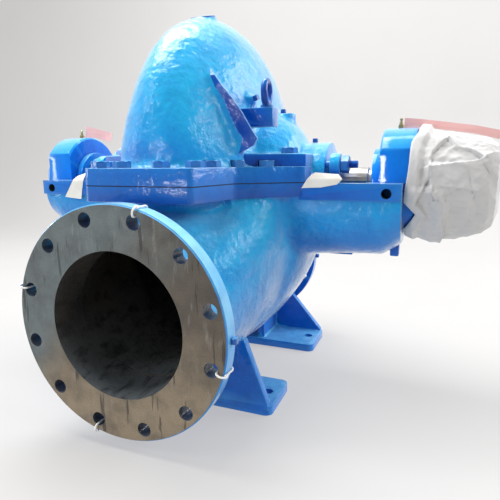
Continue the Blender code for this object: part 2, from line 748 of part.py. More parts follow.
def washer(name, side, low, high, radius, bore, edge=0.002):
    """A round plate on the shaft with a small chamfer on its free rim."""
    profile = ((low, bore), (low, radius - edge), (low + edge, radius), (high - edge, radius),
               (high, radius - edge), (high, bore))
    return turned(name, [(side * x, r) for x, r in profile], steps=28, ring=bore > 0.0)


def grease_fitting(name, side):
    """A greaser that stands on top of its bearing housing."""
    foot = SHAFT_Z + HOUSING_R + GAP
    profile = ((0.0, 0.0), (0.0, 0.0055), (0.006, 0.0055), (0.0065, 0.004), (0.012, 0.003),
               (0.0125, 0.0022), (0.015, 0.0022), (0.0165, 0.0030), (0.0185, 0.0030),
               (0.0195, 0.0015), (0.0195, 0.0))
    return turned(name, profile, steps=12, placed=Matrix.Translation((side * 0.404, 0, foot)))


def gland(name, side):
    """A packing gland: its nose in the stuffing box, and an ear for each stud."""
    low, high = GLAND_PLATE
    ring = turned(name, [(side * x, r) for x, r in (
        (low - 0.026, GLAND_BORE_R), (low - 0.026, GLAND_NOSE_R), (low, GLAND_NOSE_R),
        (low, 0.052), (high, 0.052), (high, GLAND_BORE_R))], steps=24, ring=True)
    ears = []
    for way in (-1, 1):
        y = way * STUD_Y
        z = SHAFT_Z - way * STUD_Z
        ears.append(rod("ear", (side * low, y, z), (side * (high + 0.006), y, z), GLAND_EAR_R, 16))
    bore = rod("bore", (side * (low - 0.05), 0, SHAFT_Z), (side * (high + 0.05), 0, SHAFT_Z),
               GLAND_BORE_R + 0.0002, 24)
    return cut(unite(ring, ears), [bore])


def eyebolt(name, side):
    """A lifting eye with its collar on the boss."""
    seat = BOSS_TOP + GAP
    bm = bmesh.new()
    major = 0.0215
    minor = 0.0062
    middle = seat + 0.006 + major
    rings = []
    for index in range(18):
        around = math.tau * index / 18
        centre = Vector((0.0, major * math.cos(around), major * math.sin(around)))
        out = centre.normalized()
        rings.append([bm.verts.new(centre + out * minor * math.cos(a) + Vector((minor * math.sin(a), 0, 0)))
                      for a in (math.tau * step / 8 for step in range(8))])
    for near, far in zip(rings, rings[1:] + rings[:1]):
        for index in range(8):
            after = (index + 1) % 8
            bm.faces.new((near[index], near[after], far[after], far[index]))
    x, y = side * EYEBOLT[0], side * EYEBOLT[1]
    bm.transform(Matrix.Translation((x, y, middle)) @ Matrix.Rotation(side * 0.1, 4, 'Z'))
    ring = to_mesh(bm, name)
    collar = rod("collar", (x, y, seat), (x, y, seat + 0.007), 0.0125, 12)
    return unite(ring, [collar])


def square_plug(name, base, outward, size=0.0105, height=0.009):
    """A pipe plug with a round shoulder and a square head."""
    outward = Vector(outward).normalized()
    base = Vector(base) + outward * GAP
    shoulder = rod(name, base, base + outward * 0.005, size * 0.66, 14)
    head = rod("head", base + outward * 0.003, base + outward * (0.005 + height), size * 0.707, 4,
               turn=math.pi / 4)
    return unite(shoulder, [head])


def tie(name, index):
    """A plastic tie looped through a flange hole and round the rim."""
    angle = math.tau * (index + 0.5) / SUCTION_HOLES
    outward = Vector((math.sin(angle), 0.0, math.cos(angle)))
    middle = Vector((0.0, 0.0, NOZZLE_Z))
    inner = SUCTION_CIRCLE_R + SUCTION_HOLE_R * math.cos(math.pi / 8) - TIE_R - 2 * GAP
    outer = SUCTION_FLANGE_R + TIE_R + 2 * GAP
    front = SUCTION_FACE_Y - TIE_R - 2 * GAP
    back = SUCTION_FACE_Y + SUCTION_FLANGE_THICK + TIE_R + 2 * GAP
    stops = ((inner, front), ((inner + outer) / 2, TIE_FRONT_Y + TIE_R), (outer, front),
             (outer, back), (inner, back))
    curve = bpy.data.curves.new(name, 'CURVE')
    curve.dimensions = '3D'
    curve.bevel_depth = TIE_R
    curve.bevel_resolution = 1
    spline = curve.splines.new('POLY')
    spline.points.add(len(stops) - 1)
    for point, (reach, y) in zip(spline.points, stops):
        place = middle + outward * reach
        point.co = (place.x, y, place.z, 1.0)
    spline.use_cyclic_u = True
    return curve_mesh(name, curve)


def add_card(name, rows, look, thickness=0.0008):
    """Adds a thin blank label whose surface passes through rows of points."""
    bm = bmesh.new()
    lines = [[bm.verts.new(point) for point in row] for row in rows]
    for low, high in zip(lines, lines[1:]):
        for index in range(len(low) - 1):
            bm.faces.new((low[index], low[index + 1], high[index + 1], high[index]))
    bmesh.ops.triangulate(bm, faces=bm.faces)
    mesh = bpy.data.meshes.new(name)
    bm.to_mesh(mesh)
    bm.free()
    label = add_part(name, mesh, look)
    sheet = label.modifiers.new("thickness", 'SOLIDIFY')
    sheet.thickness = thickness
    sheet.offset = 1.0
    return label


def drive_wrap():
    """The soft packing over the drive end, a thick cup around the housing and the shaft."""
    start = WRAP_START_X
    step = HOUSING[1] + 0.0006
    inner_end = SHAFT_ENDS[1] + 0.008
    outer_r = OUTER_COVER_R + 0.0008
    housing_r = HOUSING_R + 0.0008
    profile = ((WRAP_END_X, 0.0), (WRAP_END_X, 0.055), (WRAP_END_X - 0.012, 0.077), (0.54, 0.090),
               (0.47, 0.100), (0.446, 0.103), (step, 0.112), (start, 0.113), (start, housing_r),
               (step, housing_r), (step, outer_r), (inner_end, outer_r), (inner_end, 0.0))
    cup = turned("drive_wrap", profile, steps=28)
    upright = Matrix.Rotation(math.pi / 2, 4, 'X')
    slant = prism("slant", [(start - 0.02, WRAP_LIP[0][1], 0.0), (*WRAP_LIP[0], 0.0),
                            (*WRAP_LIP[1], 0.0), (start - 0.02, WRAP_LIP[1][1], 0.0)],
                  -0.2, 0.2, placed=upright)
    return cut(cup, [slant])


def shaft():
    """The steel shaft, stepped down at the drive end."""
    low, high = SHAFT_ENDS
    step = SHAFT_STEP_X
    profile = ((low, 0.0), (low, SHAFT_R - 0.002), (low + 0.002, SHAFT_R), (step, SHAFT_R),
               (step, SHAFT_R - 0.0015), (high - 0.002, SHAFT_R - 0.0015), (high, SHAFT_R - 0.0035),
               (high, 0.0))
    return turned("shaft", profile)


def impeller():
    """The double suction impeller, with an eye on both sides."""
    bore = SHAFT_R + 0.0004
    half = ((0.100, bore), (0.100, 0.036), (0.040, 0.046), (0.034, 0.066), (0.060, 0.078),
            (IMPELLER_EYE_X, 0.079), (IMPELLER_EYE_X, IMPELLER_EYE_R), (0.062, IMPELLER_EYE_R),
            (IMPELLER_HALF_WIDTH, 0.098), (0.030, IMPELLER_R))
    other = [(-x, r) for x, r in reversed(half)]
    return turned("impeller", list(half) + other, steps=24, ring=True)


def sleeve(name, side):
    """The sleeve that runs in one stuffing box."""
    low, high = SLEEVE
    bore = SHAFT_R + 0.0004
    profile = ((low, bore), (low, SLEEVE_R), (high - 0.002, SLEEVE_R), (high, SLEEVE_R - 0.002),
               (high, bore))
    return turned(name, [(side * x, r) for x, r in profile], steps=20, ring=True)


def build():
    enamel = material("blue_enamel", BLUE, 0.28)
    housing_enamel = material("housing_enamel", (0.008, 0.165, 0.610), 0.25)
    iron = material("bare_iron", (0.16, 0.13, 0.11), 0.62, 0.6)
    steel = material("machined_steel", (0.55, 0.54, 0.52), 0.30, 1.0)
    bronze = material("bronze", (0.42, 0.26, 0.12), 0.40, 0.9)
    brass = material("fitting_brass", (0.50, 0.40, 0.18), 0.35, 0.9)
    gasket = material("gasket_fibre", (0.05, 0.06, 0.08), 0.80)
    foam = material("white_foam", (0.86, 0.86, 0.86), 0.85)
    pink = material("pink_tag", (0.85, 0.38, 0.36), 0.60)
    cream = material("cream_tag", (0.86, 0.80, 0.66), 0.70)
    nylon = material("white_tie", (0.88, 0.88, 0.86), 0.45)

    add_part("lower_casing", lower_casing(), enamel)
    add_part("upper_casing", upper_casing(), enamel)
    add_part("gasket_suction_side", parting_gasket("gasket_suction_side", -1), gasket)
    add_part("gasket_discharge_side", parting_gasket("gasket_discharge_side", 1), gasket)
    for end, side in (("drive", 1), ("outboard", -1)):
        add_part("bearing_housing_" + end, bearing_housing("bearing_housing", side), housing_enamel)
        add_part("inner_cover_" + end,
                 washer("inner_cover", side, INNER_COVER_X, HOUSING[0] - GAP, INNER_COVER_R,
                        BEARING_BORE_R), housing_enamel)
        add_part("outer_cover_" + end,
                 washer("outer_cover", side, HOUSING[1] + GAP, OUTER_COVER_X, OUTER_COVER_R,
                        BEARING_BORE_R if side > 0 else 0.0), housing_enamel)
        add_part("grease_fitting_" + end, grease_fitting("grease_fitting", side), brass)
        add_part("gland_" + end, gland("gland", side), enamel)
        add_part("eyebolt_" + end, eyebolt("eyebolt", side), enamel)
        add_part("box_plug_" + end,
                 square_plug("box_plug", (side * 0.228, 0, SHAFT_Z + BOX_R), (0, 0, 1)), enamel)
        add_part("chamber_plug_" + end,
                 square_plug("chamber_plug", (side * PLUG_BOSS_X[0], 0, PLUG_BOSS_TOP), (0, 0, 1)),
                 enamel)
        add_part("shaft_sleeve_" + end, sleeve("shaft_sleeve", side), steel, ROTOR_AXIS)
    way = Vector(SIDE_PLUG_WAY).normalized()
    add_part("side_plug",
             square_plug("side_plug", Vector(SIDE_PLUG) + way * SIDE_PLUG_BOSS, way), enamel)
    add_part("suction_gauge_plug",
             square_plug("suction_gauge_plug",
                         (SUCTION_FLANGE_R, SUCTION_FACE_Y + 0.016, NOZZLE_Z), (1, 0, 0)), enamel)
    add_part("discharge_gauge_plug",
             square_plug("discharge_gauge_plug",
                         (DISCHARGE_FLANGE_R, DISCHARGE_FACE_Y - 0.014, NOZZLE_Z), (1, 0, 0)), enamel)
    rail_front = -RAIL_Y - 0.0006
    add_card("cream_tag_drive", (
        ((0.235, rail_front, 0.440), (0.303, rail_front, 0.444)),
        ((0.238, rail_front, 0.4505), (0.312, rail_front, 0.4505)),
        ((0.246, rail_front, 0.466), (0.312, -0.126, 0.468))), cream)
    add_card("cream_tag_outboard", (
        ((-0.352, rail_front, 0.410), (-0.304, rail_front, 0.406)),
        ((-0.324, rail_front, 0.4505), (-0.294, rail_front, 0.4505)),
        ((-0.316, -0.126, 0.459), (-0.292, -0.122, 0.467))), cream)
    perch = SHAFT_Z + HOUSING_R + GAP
    wrap_top = perch + GAP
    add_card("pink_tag_drive", (
        ((0.410, 0.002, wrap_top), (0.4475, 0.002, wrap_top), (0.540, 0.002, wrap_top - 0.0145),
         (0.583, 0.002, wrap_top - 0.0260)),
        ((0.410, 0.006, perch + 0.020), (0.444, 0.008, wrap_top + 0.016),
         (0.540, 0.006, wrap_top + 0.001), (0.587, 0.004, wrap_top - 0.0100))), pink)
    add_card("pink_tag_outboard", (
        ((-0.395, 0.002, perch), (-0.366, 0.001, perch), (-0.310, -0.004, perch - 0.012)),
        ((-0.392, 0.008, perch + 0.030), (-0.364, 0.006, perch + 0.023),
         (-0.308, 0.004, perch + 0.010))), pink)
    add_part("drive_wrap", drive_wrap(), foam)
    for index in TIE_HOLES:
        add_part("tie_{:02d}".format(index), tie("tie", index), nylon)
    add_part("shaft", shaft(), steel, ROTOR_AXIS)
    add_part("impeller", impeller(), bronze, ROTOR_AXIS)


build()
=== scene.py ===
import math

import bmesh
import bpy
import numpy as np
from mathutils import Matrix, Vector, noise


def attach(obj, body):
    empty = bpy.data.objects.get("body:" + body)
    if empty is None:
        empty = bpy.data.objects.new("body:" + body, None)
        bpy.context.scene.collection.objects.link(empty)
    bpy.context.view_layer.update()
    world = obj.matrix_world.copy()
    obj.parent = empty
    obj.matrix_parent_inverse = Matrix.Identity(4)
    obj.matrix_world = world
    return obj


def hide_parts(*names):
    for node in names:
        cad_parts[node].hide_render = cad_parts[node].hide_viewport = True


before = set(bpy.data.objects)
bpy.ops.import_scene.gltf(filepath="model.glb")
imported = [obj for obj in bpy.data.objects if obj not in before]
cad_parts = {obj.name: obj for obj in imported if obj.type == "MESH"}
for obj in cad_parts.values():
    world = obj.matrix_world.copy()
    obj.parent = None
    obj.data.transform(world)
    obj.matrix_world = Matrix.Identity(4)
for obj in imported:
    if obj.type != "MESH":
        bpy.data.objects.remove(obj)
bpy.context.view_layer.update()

# The pump is drawn in its own frame, with X along the shaft, and moved into the frame's at the end
SHIFT = Vector((-0.0685, 0.074, 0.0))
SHAFT_Z = 0.450
NOZZLE_Z = 0.225
PART_GAP = 0.001
SUCTION_Y = -0.420
DISCHARGE_Y = 0.280
FLANGE_TOP = SHAFT_Z + 0.031
FLANGE_BOTTOM = SHAFT_Z - 0.028
PAD_TOP = SHAFT_Z + 0.056
WALL = 0.016
PASSAGE_INSET = 0.024
VOLUTE_HALF = 0.074
BOX_END, BOX_RADIUS = 0.265, 0.080
SOFT_BOX_END, SOFT_BOX_RADIUS = 0.262, 0.078
FAR_X, FAR_Y = 0.7, 0.6
RAIL_START, RAIL_HALF = 0.228, 0.132
HOUSING_START, HOUSING_STOP, HOUSING_RADIUS, HOUSING_FLAT = 0.373, 0.441, 0.105, 0.084
ARM_HOLE_X, ARM_HOLE_Z, ARM_HOLE_RADIUS = 0.393, SHAFT_Z - 0.019, 0.0095
# Each foot as (front, back, the way it points, half width of its web at the top)
FEET = ((-0.228, -0.104, -1, 0.150), (0.105, 0.236, 1, 0.090))
FOOT_HALF, FOOT_HEIGHT = 0.205, 0.019
FOOT_HOLE_X, FOOT_HOLE_ROWS, FOOT_HOLE_RADIUS = 0.178, (-0.166, 0.1705), 0.0105
# Each nozzle's flange as (radius, thickness), its holes as (circle, count, radius), and its bore
SUCTION_FLANGE, SUCTION_HOLES, SUCTION_BORE = (0.203, 0.030), (0.181, 12, 0.0127), 0.127
DISCHARGE_FLANGE, DISCHARGE_HOLES, DISCHARGE_BORE = (0.1715, 0.0286), (0.149, 8, 0.0111), 0.1015
ARM_END = 0.420
VOXEL = 0.0037


# Materials, whose colours are linear red, green and blue
NOISE_ROUGHNESS = 0.55
SPECK_BLUE = (0.006, 0.025, 0.110)
# The colour of the painted reflection on enamel seen edge-on
PAINTED_GLARE = (0.62, 0.72, 0.80)
FACE_GREY = (0.105, 0.088, 0.070)
FACE_TAN = (0.330, 0.262, 0.180)
FACE_PALE = (0.150, 0.185, 0.195)


def node(tree, kind, **values):
    made = tree.nodes.new(kind)
    for key, value in values.items():
        if hasattr(made, key):
            setattr(made, key, value)
        else:
            made.inputs[key.replace("_", " ")].default_value = value
    return made


def link(tree, output, target):
    tree.links.new(output, target)


def in_span(tree, value, low, high):
    """A value's place between low and high, from 0 to 1."""
    span = node(tree, "ShaderNodeMapRange", From_Min=low, From_Max=high)
    link(tree, value, span.inputs["Value"])
    return span.outputs["Result"]


def mask(tree, coords, scale, low, high, detail=4.0, stretch=None):
    """A noise mask from 0 to 1, sharp between low and high."""
    source = coords
    if stretch is not None:
        mapping = node(tree, "ShaderNodeMapping", Scale=stretch)
        link(tree, coords, mapping.inputs["Vector"])
        source = mapping.outputs["Vector"]
    made = node(tree, "ShaderNodeTexNoise", Scale=scale, Detail=detail, Roughness=NOISE_ROUGHNESS)
    link(tree, source, made.inputs["Vector"])
    return in_span(tree, made.outputs["Fac"], low, high)


def blend(tree, factor, first, second):
    """A mix of two colours, each an output or a plain colour."""
    made = node(tree, "ShaderNodeMix", data_type='RGBA')
    slots = (made.inputs[6], made.inputs[7])
    for value, target in zip((first, second), slots):
        if isinstance(value, tuple):
            target.default_value = (*value, 1.0)
        else:
            link(tree, value, target)
    if isinstance(factor, float):
        made.inputs[0].default_value = factor
    else:
        link(tree, factor, made.inputs[0])
    return made.outputs[2]


def math_node(tree, operation, *values):
    """One sum, whose values are outputs or plain numbers."""
    made = node(tree, "ShaderNodeMath", operation=operation)
    for value, target in zip(values, made.inputs):
        if isinstance(value, float):
            target.default_value = value
        else:
            link(tree, value, target)
    return made.outputs[0]


def stained(tree, color, where, amount, stain):
    """The colour with some of another one over it where the mask is set."""
    return blend(tree, math_node(tree, 'MULTIPLY', where, amount), color, stain)


def start_look(name, roughness, metallic=0.0, coat=0.0, coat_roughness=0.1, specular=0.5, sheen=0.0):
    made = bpy.data.materials.new(name)
    made.use_nodes = True
    tree = made.node_tree
    shader = tree.nodes["Principled BSDF"]
    values = {"Roughness": roughness, "Metallic": metallic, "Coat Weight": coat,
              "Coat Roughness": coat_roughness, "Specular IOR Level": specular,
              "Sheen Weight": sheen}
    for key, value in values.items():
        shader.inputs[key].default_value = value
    coords = node(tree, "ShaderNodeTexCoord").outputs["Object"]
    return made, tree, shader, coords


def finish_look(tree, shader, color, where, rise, roughness, layers):
    """Sets the colour, a roughness that rises where the mask is set, and the bumps.

    The layers are (height output, strength, distance), each bump on the one before."""
    link(tree, color, shader.inputs["Base Color"])
    link(tree, math_node(tree, 'MULTIPLY_ADD', where, rise, roughness), shader.inputs["Roughness"])
    normal = None
    for height, strength, distance in layers:
        made = node(tree, "ShaderNodeBump", Strength=strength, Distance=distance)
        link(tree, height, made.inputs["Height"])
        if normal is not None:
            link(tree, normal, made.inputs["Normal"])
        normal = made.outputs["Normal"]
    link(tree, normal, shader.inputs["Normal"])
    link(tree, normal, shader.inputs["Coat Normal"])


def wear_and_crease_shade(tree, low, high):
    """A mask of the convex edges, used for edge wear; with high the smaller, a mask of the creases, used
    for painted shade in folds.
    """
    geometry = node(tree, "ShaderNodeNewGeometry")
    return in_span(tree, geometry.outputs["Pointiness"], low, high)


def facing_up(tree, low, high):
    """A mask of the faces that look upwards."""
    geometry = node(tree, "ShaderNodeNewGeometry")
    parts = node(tree, "ShaderNodeSeparateXYZ")
    link(tree, geometry.outputs["Normal"], parts.inputs["Vector"])
    return in_span(tree, parts.outputs["Z"], low, high)


def enamel_look(name, levels, peel=1.0, dirt=0.35, ragged=0.16, painted_sheen=0.25):
    """Gloss enamel sprayed over a casting, painted paler where it looks up and deeper where it looks down
    as painted light and shade, with a painted reflection where it is seen edge-on; levels are (lean,
    colour).
    """
    made, tree, shader, coords = start_look(name, 0.14, coat=0.50, coat_roughness=0.05,
                                            specular=0.05)
    deep, light = levels[0][1], levels[-1][1]
    broad = mask(tree, coords, 7.0, 0.30, 0.72, detail=5.0)
    cloudy = mask(tree, coords, 34.0, 0.40, 0.70, detail=5.0)
    runs = mask(tree, coords, 22.0, 0.56, 0.72, stretch=(2.4, 2.4, 0.45))
    specks = mask(tree, coords, 150.0, 0.70, 0.76, detail=2.0)
    # The ramp by lean is painted light and shade: lighter where faces look up, darker where they look down.
    lean = math_node(tree, 'MULTIPLY_ADD', broad, ragged, facing_up(tree, -1.0, 1.0))
    ramp = node(tree, "ShaderNodeValToRGB")
    steps = ramp.color_ramp.elements
    while len(steps) < len(levels):
        steps.new(0.5)
    for step, (height, color) in zip(steps, levels):
        step.position = (height + 1) / 2
        step.color = (*color, 1.0)
    link(tree, math_node(tree, 'SUBTRACT', lean, ragged / 2), ramp.inputs["Fac"])
    color = stained(tree, ramp.outputs["Color"], cloudy, 0.26, deep)
    color = stained(tree, color, runs, 0.22, deep)
    color = stained(tree, color, specks, dirt, SPECK_BLUE)
    color = stained(tree, color, wear_and_crease_shade(tree, 0.53, 0.62), 0.45, light)
    # Painted reflection: a pale colour mixed in where faces are seen edge-on.
    facing = node(tree, "ShaderNodeLayerWeight", Blend=0.38).outputs["Facing"]
    color = stained(tree, color, math_node(tree, 'POWER', facing, 2.2), painted_sheen, PAINTED_GLARE)
    coarse = mask(tree, coords, 62.0, 0.0, 1.0, detail=3.0)
    fine = mask(tree, coords, 150.0, 0.0, 1.0)
    swell = mask(tree, coords, 22.0, 0.0, 1.0, detail=2.0)
    finish_look(tree, shader, color, cloudy, 0.12, 0.10,
                ((swell, 0.40 * peel, 0.0100), (coarse, 0.42 * peel, 0.0060),
                 (fine, 0.36 * peel, 0.0024)))
    return made


def face_look():
    """The suction flange's bare machined face: blue grey at the top left, tan at the foot."""
    made, tree, shader, coords = start_look("bare_iron", 0.5, metallic=0.30, specular=0.35)
    place = node(tree, "ShaderNodeSeparateXYZ")
    link(tree, coords, place.inputs["Vector"])
    broad = mask(tree, coords, 9.0, 0.30, 0.72, detail=6.0)
    cloud = mask(tree, coords, 30.0, 0.38, 0.70, detail=6.0)
    scuffs = mask(tree, coords, 38.0, 0.58, 0.70, detail=5.0, stretch=(2.6, 1.0, 0.5))
    drips = mask(tree, coords, 30.0, 0.61, 0.65, stretch=(3.2, 1.0, 0.32))
    grain = mask(tree, coords, 520.0, 0.30, 0.70, detail=2.0)
    lean = math_node(tree, 'SUBTRACT', place.outputs["Z"], place.outputs["X"])
    ragged = math_node(tree, 'MULTIPLY_ADD', broad, 0.13, lean)
    low = math_node(tree, 'MULTIPLY_ADD', broad, -0.08, place.outputs["Z"])
    color = blend(tree, in_span(tree, low, 0.23, 0.05), FACE_GREY, FACE_TAN)
    color = blend(tree, in_span(tree, ragged, 0.36, 0.50), color, FACE_PALE)
    for where, amount, stain in ((cloud, 0.45, (0.075, 0.072, 0.068)),
                                 (scuffs, 0.30, (0.36, 0.35, 0.32)),
                                 (drips, 0.65, (0.030, 0.028, 0.026)),
                                 (grain, 0.35, (0.04, 0.04, 0.04))):
        color = stained(tree, color, where, amount, stain)
    finish_look(tree, shader, color, cloud, 0.25, 0.45,
                ((cloud, 0.20, 0.0008), (grain, 0.30, 0.0005), (drips, 0.25, 0.0006)))
    return made


def cast_iron_look(name, base, dark, rust, painted_light, roughness=0.7):
    """The rough inside of the casting, painted paler where it looks up, as painted light."""
    made, tree, shader, coords = start_look(name, roughness, metallic=0.20, specular=0.3)
    broad = mask(tree, coords, 9.0, 0.35, 0.70, detail=5.0)
    stain = mask(tree, coords, 40.0, 0.48, 0.66, detail=6.0, stretch=(1.6, 0.6, 0.8))
    color = blend(tree, broad, base, rust)
    color = blend(tree, facing_up(tree, 0.1, 0.85), color, painted_light)
    color = stained(tree, color, stain, 0.7, dark)
    coarse = mask(tree, coords, 90.0, 0.0, 1.0, detail=3.0)
    fine = mask(tree, coords, 320.0, 0.0, 1.0, detail=5.0)
    finish_look(tree, shader, color, stain, 0.2, roughness - 0.1,
                ((coarse, 0.6, 0.0022), (fine, 0.4, 0.0008)))
    return made


def metal_look(name, base, dark, roughness=0.28, tarnish=0.4):
    made, tree, shader, coords = start_look(name, roughness, metallic=1.0)
    cloudy = mask(tree, coords, 40.0, 0.45, 0.70, detail=5.0)
    rings = mask(tree, coords, 120.0, 0.0, 1.0, detail=2.0, stretch=(6.0, 0.2, 0.2))
    fine = mask(tree, coords, 400.0, 0.0, 1.0, detail=3.0, stretch=(0.2, 8.0, 8.0))
    color = stained(tree, base, cloudy, tarnish, dark)
    finish_look(tree, shader, color, cloudy, 0.22, roughness,
                ((rings, 0.15, 0.0004), (fine, 0.10, 0.0003)))
    return made


def soft_look(name, base, shade, roughness=0.85, scale=140.0, strength=0.3, sheen=0.2, crease=None):
    made, tree, shader, coords = start_look(name, roughness, specular=0.25, sheen=sheen)
    cloudy = mask(tree, coords, 22.0, 0.40, 0.75, detail=5.0)
    specks = mask(tree, coords, 260.0, 0.66, 0.74, detail=2.0)
    color = stained(tree, base, cloudy, 0.6, shade)
    color = stained(tree, color, specks, 0.3, shade)
    # Painted shade in the creases, where the pointiness mask picks them out.
    if crease is not None:
        color = blend(tree, wear_and_crease_shade(tree, 0.480, 0.430), color, crease)
    fine = mask(tree, coords, scale, 0.0, 1.0)
    finish_look(tree, shader, color, cloudy, 0.1, roughness - 0.05, ((fine, strength, 0.0008),))
    return made


# Copies of the blue enamel. In each, the colour ramp by lean is painted light and shade: lighter where
# faces look up, darker where they look down.
BLUE = enamel_look("blue_enamel", (
    (-1.0, (0.012, 0.150, 0.520)), (-0.35, (0.026, 0.230, 0.630)), (0.0, (0.014, 0.330, 0.740)),
    (0.35, (0.018, 0.420, 0.770)), (0.62, (0.030, 0.420, 0.770)), (0.92, (0.080, 0.450, 0.780))),
    painted_sheen=0.80)
# Split flange, pads, lugs and rib: a darker copy, painted shade on their sides.
EDGE_BLUE = enamel_look("edge_enamel", (
    (-1.0, (0.004, 0.030, 0.220)), (-0.3, (0.003, 0.055, 0.360)), (0.1, (0.002, 0.105, 0.500)),
    (0.5, (0.015, 0.280, 0.680)), (0.95, (0.070, 0.400, 0.750))), peel=0.7, ragged=0.10,
    painted_sheen=0.70)
# Feet and the low faces by them: a darker copy, painted shade low under the body.
FOOT_BLUE = enamel_look("foot_enamel", (
    (-1.0, (0.004, 0.060, 0.340)), (0.05, (0.007, 0.150, 0.600)), (0.6, (0.012, 0.220, 0.660)),
    (0.95, (0.100, 0.400, 0.740))), peel=0.8, ragged=0.10)
DRUM_BLUE = enamel_look("housing_enamel", (
    (-1.0, (0.003, 0.080, 0.400)), (0.05, (0.001, 0.215, 0.760)), (0.55, (0.010, 0.300, 0.780)),
    (0.95, (0.040, 0.360, 0.780))), peel=0.12, dirt=0.12, ragged=0.04, painted_sheen=0.5)
RAIL_BLUE = enamel_look("smooth_enamel", (
    (-1.0, (0.003, 0.060, 0.340)), (0.05, (0.006, 0.130, 0.580)), (0.5, (0.020, 0.300, 0.720)),
    (0.95, (0.050, 0.380, 0.760))), peel=0.25, dirt=0.15, ragged=0.05, painted_sheen=0.5)
# Suction flange rim: a paler copy, a painted reflection on the rim.
RIM_SHEEN_BLUE = enamel_look("rim_enamel", (
    (-1.0, (0.004, 0.070, 0.380)), (-0.1, (0.030, 0.300, 0.700)), (0.4, (0.200, 0.540, 0.800)),
    (0.95, (0.200, 0.540, 0.810))), peel=0.25, dirt=0.15, ragged=0.08, painted_sheen=0.4)
# Flange bolt holes: a near-black copy, painted shade inside the holes.
HOLE_BLUE = enamel_look("hole_enamel", (
    (-1.0, (0.020, 0.022, 0.030)), (0.2, (0.030, 0.036, 0.050)), (0.9, (0.140, 0.165, 0.210))),
    peel=0.6)
BOLT_BLUE = enamel_look("bolt_enamel", (
    (-1.0, (0.003, 0.030, 0.200)), (0.1, (0.005, 0.062, 0.360)), (0.6, (0.010, 0.150, 0.520)),
    (0.95, (0.080, 0.340, 0.700))), peel=0.4, ragged=0.08)
IRON = face_look()
BORE_IRON = cast_iron_look("bore_iron", (0.045, 0.044, 0.044), (0.012, 0.012, 0.014),
                           (0.075, 0.065, 0.052), (0.130, 0.150, 0.165))
# Splitter facing the bore: brown, and painted many times lighter than the bore's iron, a painted light
# where light comes in through the bore.
LIT_NOSE_IRON = cast_iron_look("lit_splitter_iron", (0.330, 0.275, 0.205), (0.150, 0.120, 0.090),
                           (0.420, 0.330, 0.230), (0.380, 0.340, 0.290))
STEEL = metal_look("machined_steel", (0.58, 0.56, 0.53), (0.20, 0.17, 0.15))
BRONZE = metal_look("bronze", (0.40, 0.26, 0.13), (0.12, 0.08, 0.05), roughness=0.45)
BRASS = metal_look("fitting_brass", (0.46, 0.38, 0.20), (0.08, 0.07, 0.06), roughness=0.35,
                   tarnish=0.8)
GASKET = soft_look("gasket_fibre", (0.030, 0.045, 0.080), (0.010, 0.015, 0.030), sheen=0.0)
# The foam's creases are painted darker: painted shade in the folds.
FOAM = soft_look("white_foam", (0.57, 0.565, 0.56), (0.48, 0.48, 0.49), scale=420.0, strength=0.25,
                 crease=(0.30, 0.30, 0.31))
PINK = soft_look("pink_tag", (0.72, 0.42, 0.41), (0.66, 0.34, 0.33), roughness=0.6, scale=90.0,
                 strength=0.15)
CREAM = soft_look("cream_tag", (0.90, 0.87, 0.79), (0.64, 0.58, 0.48), roughness=0.8, scale=240.0)
NYLON = soft_look("white_tie", (0.85, 0.85, 0.83), (0.72, 0.72, 0.70), roughness=0.4, scale=60.0,
                  strength=0.1, sheen=0.0)


# Shapes
def in_scene(name, data):
    made = bpy.data.objects.new(name, data)
    bpy.context.scene.collection.objects.link(made)
    return made


def plain_mesh(bm, name):
    mesh = bpy.data.meshes.new(name)
    bm.to_mesh(mesh)
    bm.free()
    return mesh


def to_mesh(bm, name):
    """The mesh of a closed shape, its faces turned outwards."""
    bmesh.ops.recalc_face_normals(bm, faces=bm.faces)
    if bm.faces and bm.calc_volume(signed=True) < 0.0:
        bmesh.ops.reverse_faces(bm, faces=bm.faces)
    return plain_mesh(bm, name)


def bridge(bm, near, far):
    """The faces between two closed loops of as many points."""
    count = len(near)
    for index in range(count):
        after = (index + 1) % count
        bm.faces.new((near[index], near[after], far[after], far[index]))


def evaluated(data, modifiers=()):
    """The mesh of some data after a list of (kind, settings) modifiers."""
    source = in_scene("work", data)
    for kind, settings in modifiers:
        made = source.modifiers.new(kind, kind)
        for key, value in settings.items():
            setattr(made, key, value)
    bpy.context.view_layer.update()
    done = source.evaluated_get(bpy.context.evaluated_depsgraph_get())
    result = bpy.data.meshes.new_from_object(done)
    bpy.data.objects.remove(source, do_unlink=True)
    return result


def joined(meshes):
    bm = bmesh.new()
    for mesh in meshes:
        bm.from_mesh(mesh)
    return plain_mesh(bm, "joined")


def moved(mesh, matrix):
    copy = mesh.copy()
    copy.transform(matrix)
    if matrix.determinant() < 0:
        copy.flip_normals()
    return copy


def combine(mesh, others, operation):
    """The mesh less each other one, or joined with it, which bring their own looks."""
    guides = [in_scene("guide", other) for other in others]
    steps = [('BOOLEAN', {"operation": operation, "solver": 'MANIFOLD', "object": guide,
                          "material_mode": 'TRANSFER'}) for guide in guides]
    result = evaluated(mesh, steps)
    for guide in guides:
        bpy.data.objects.remove(guide, do_unlink=True)
    return result


def cut(mesh, cutters):
    return combine(mesh, cutters, 'DIFFERENCE')


def unite(mesh, shapes):
    return combine(mesh, shapes, 'UNION')


def crisp(mesh, width=0.0015, segments=2):
    """The mesh with its edges rounded off a little."""
    return evaluated(mesh, [('BEVEL', {"width": width, "segments": segments,
                                       "limit_method": 'ANGLE', "angle_limit": math.radians(30),
                                       "use_clamp_overlap": True})])


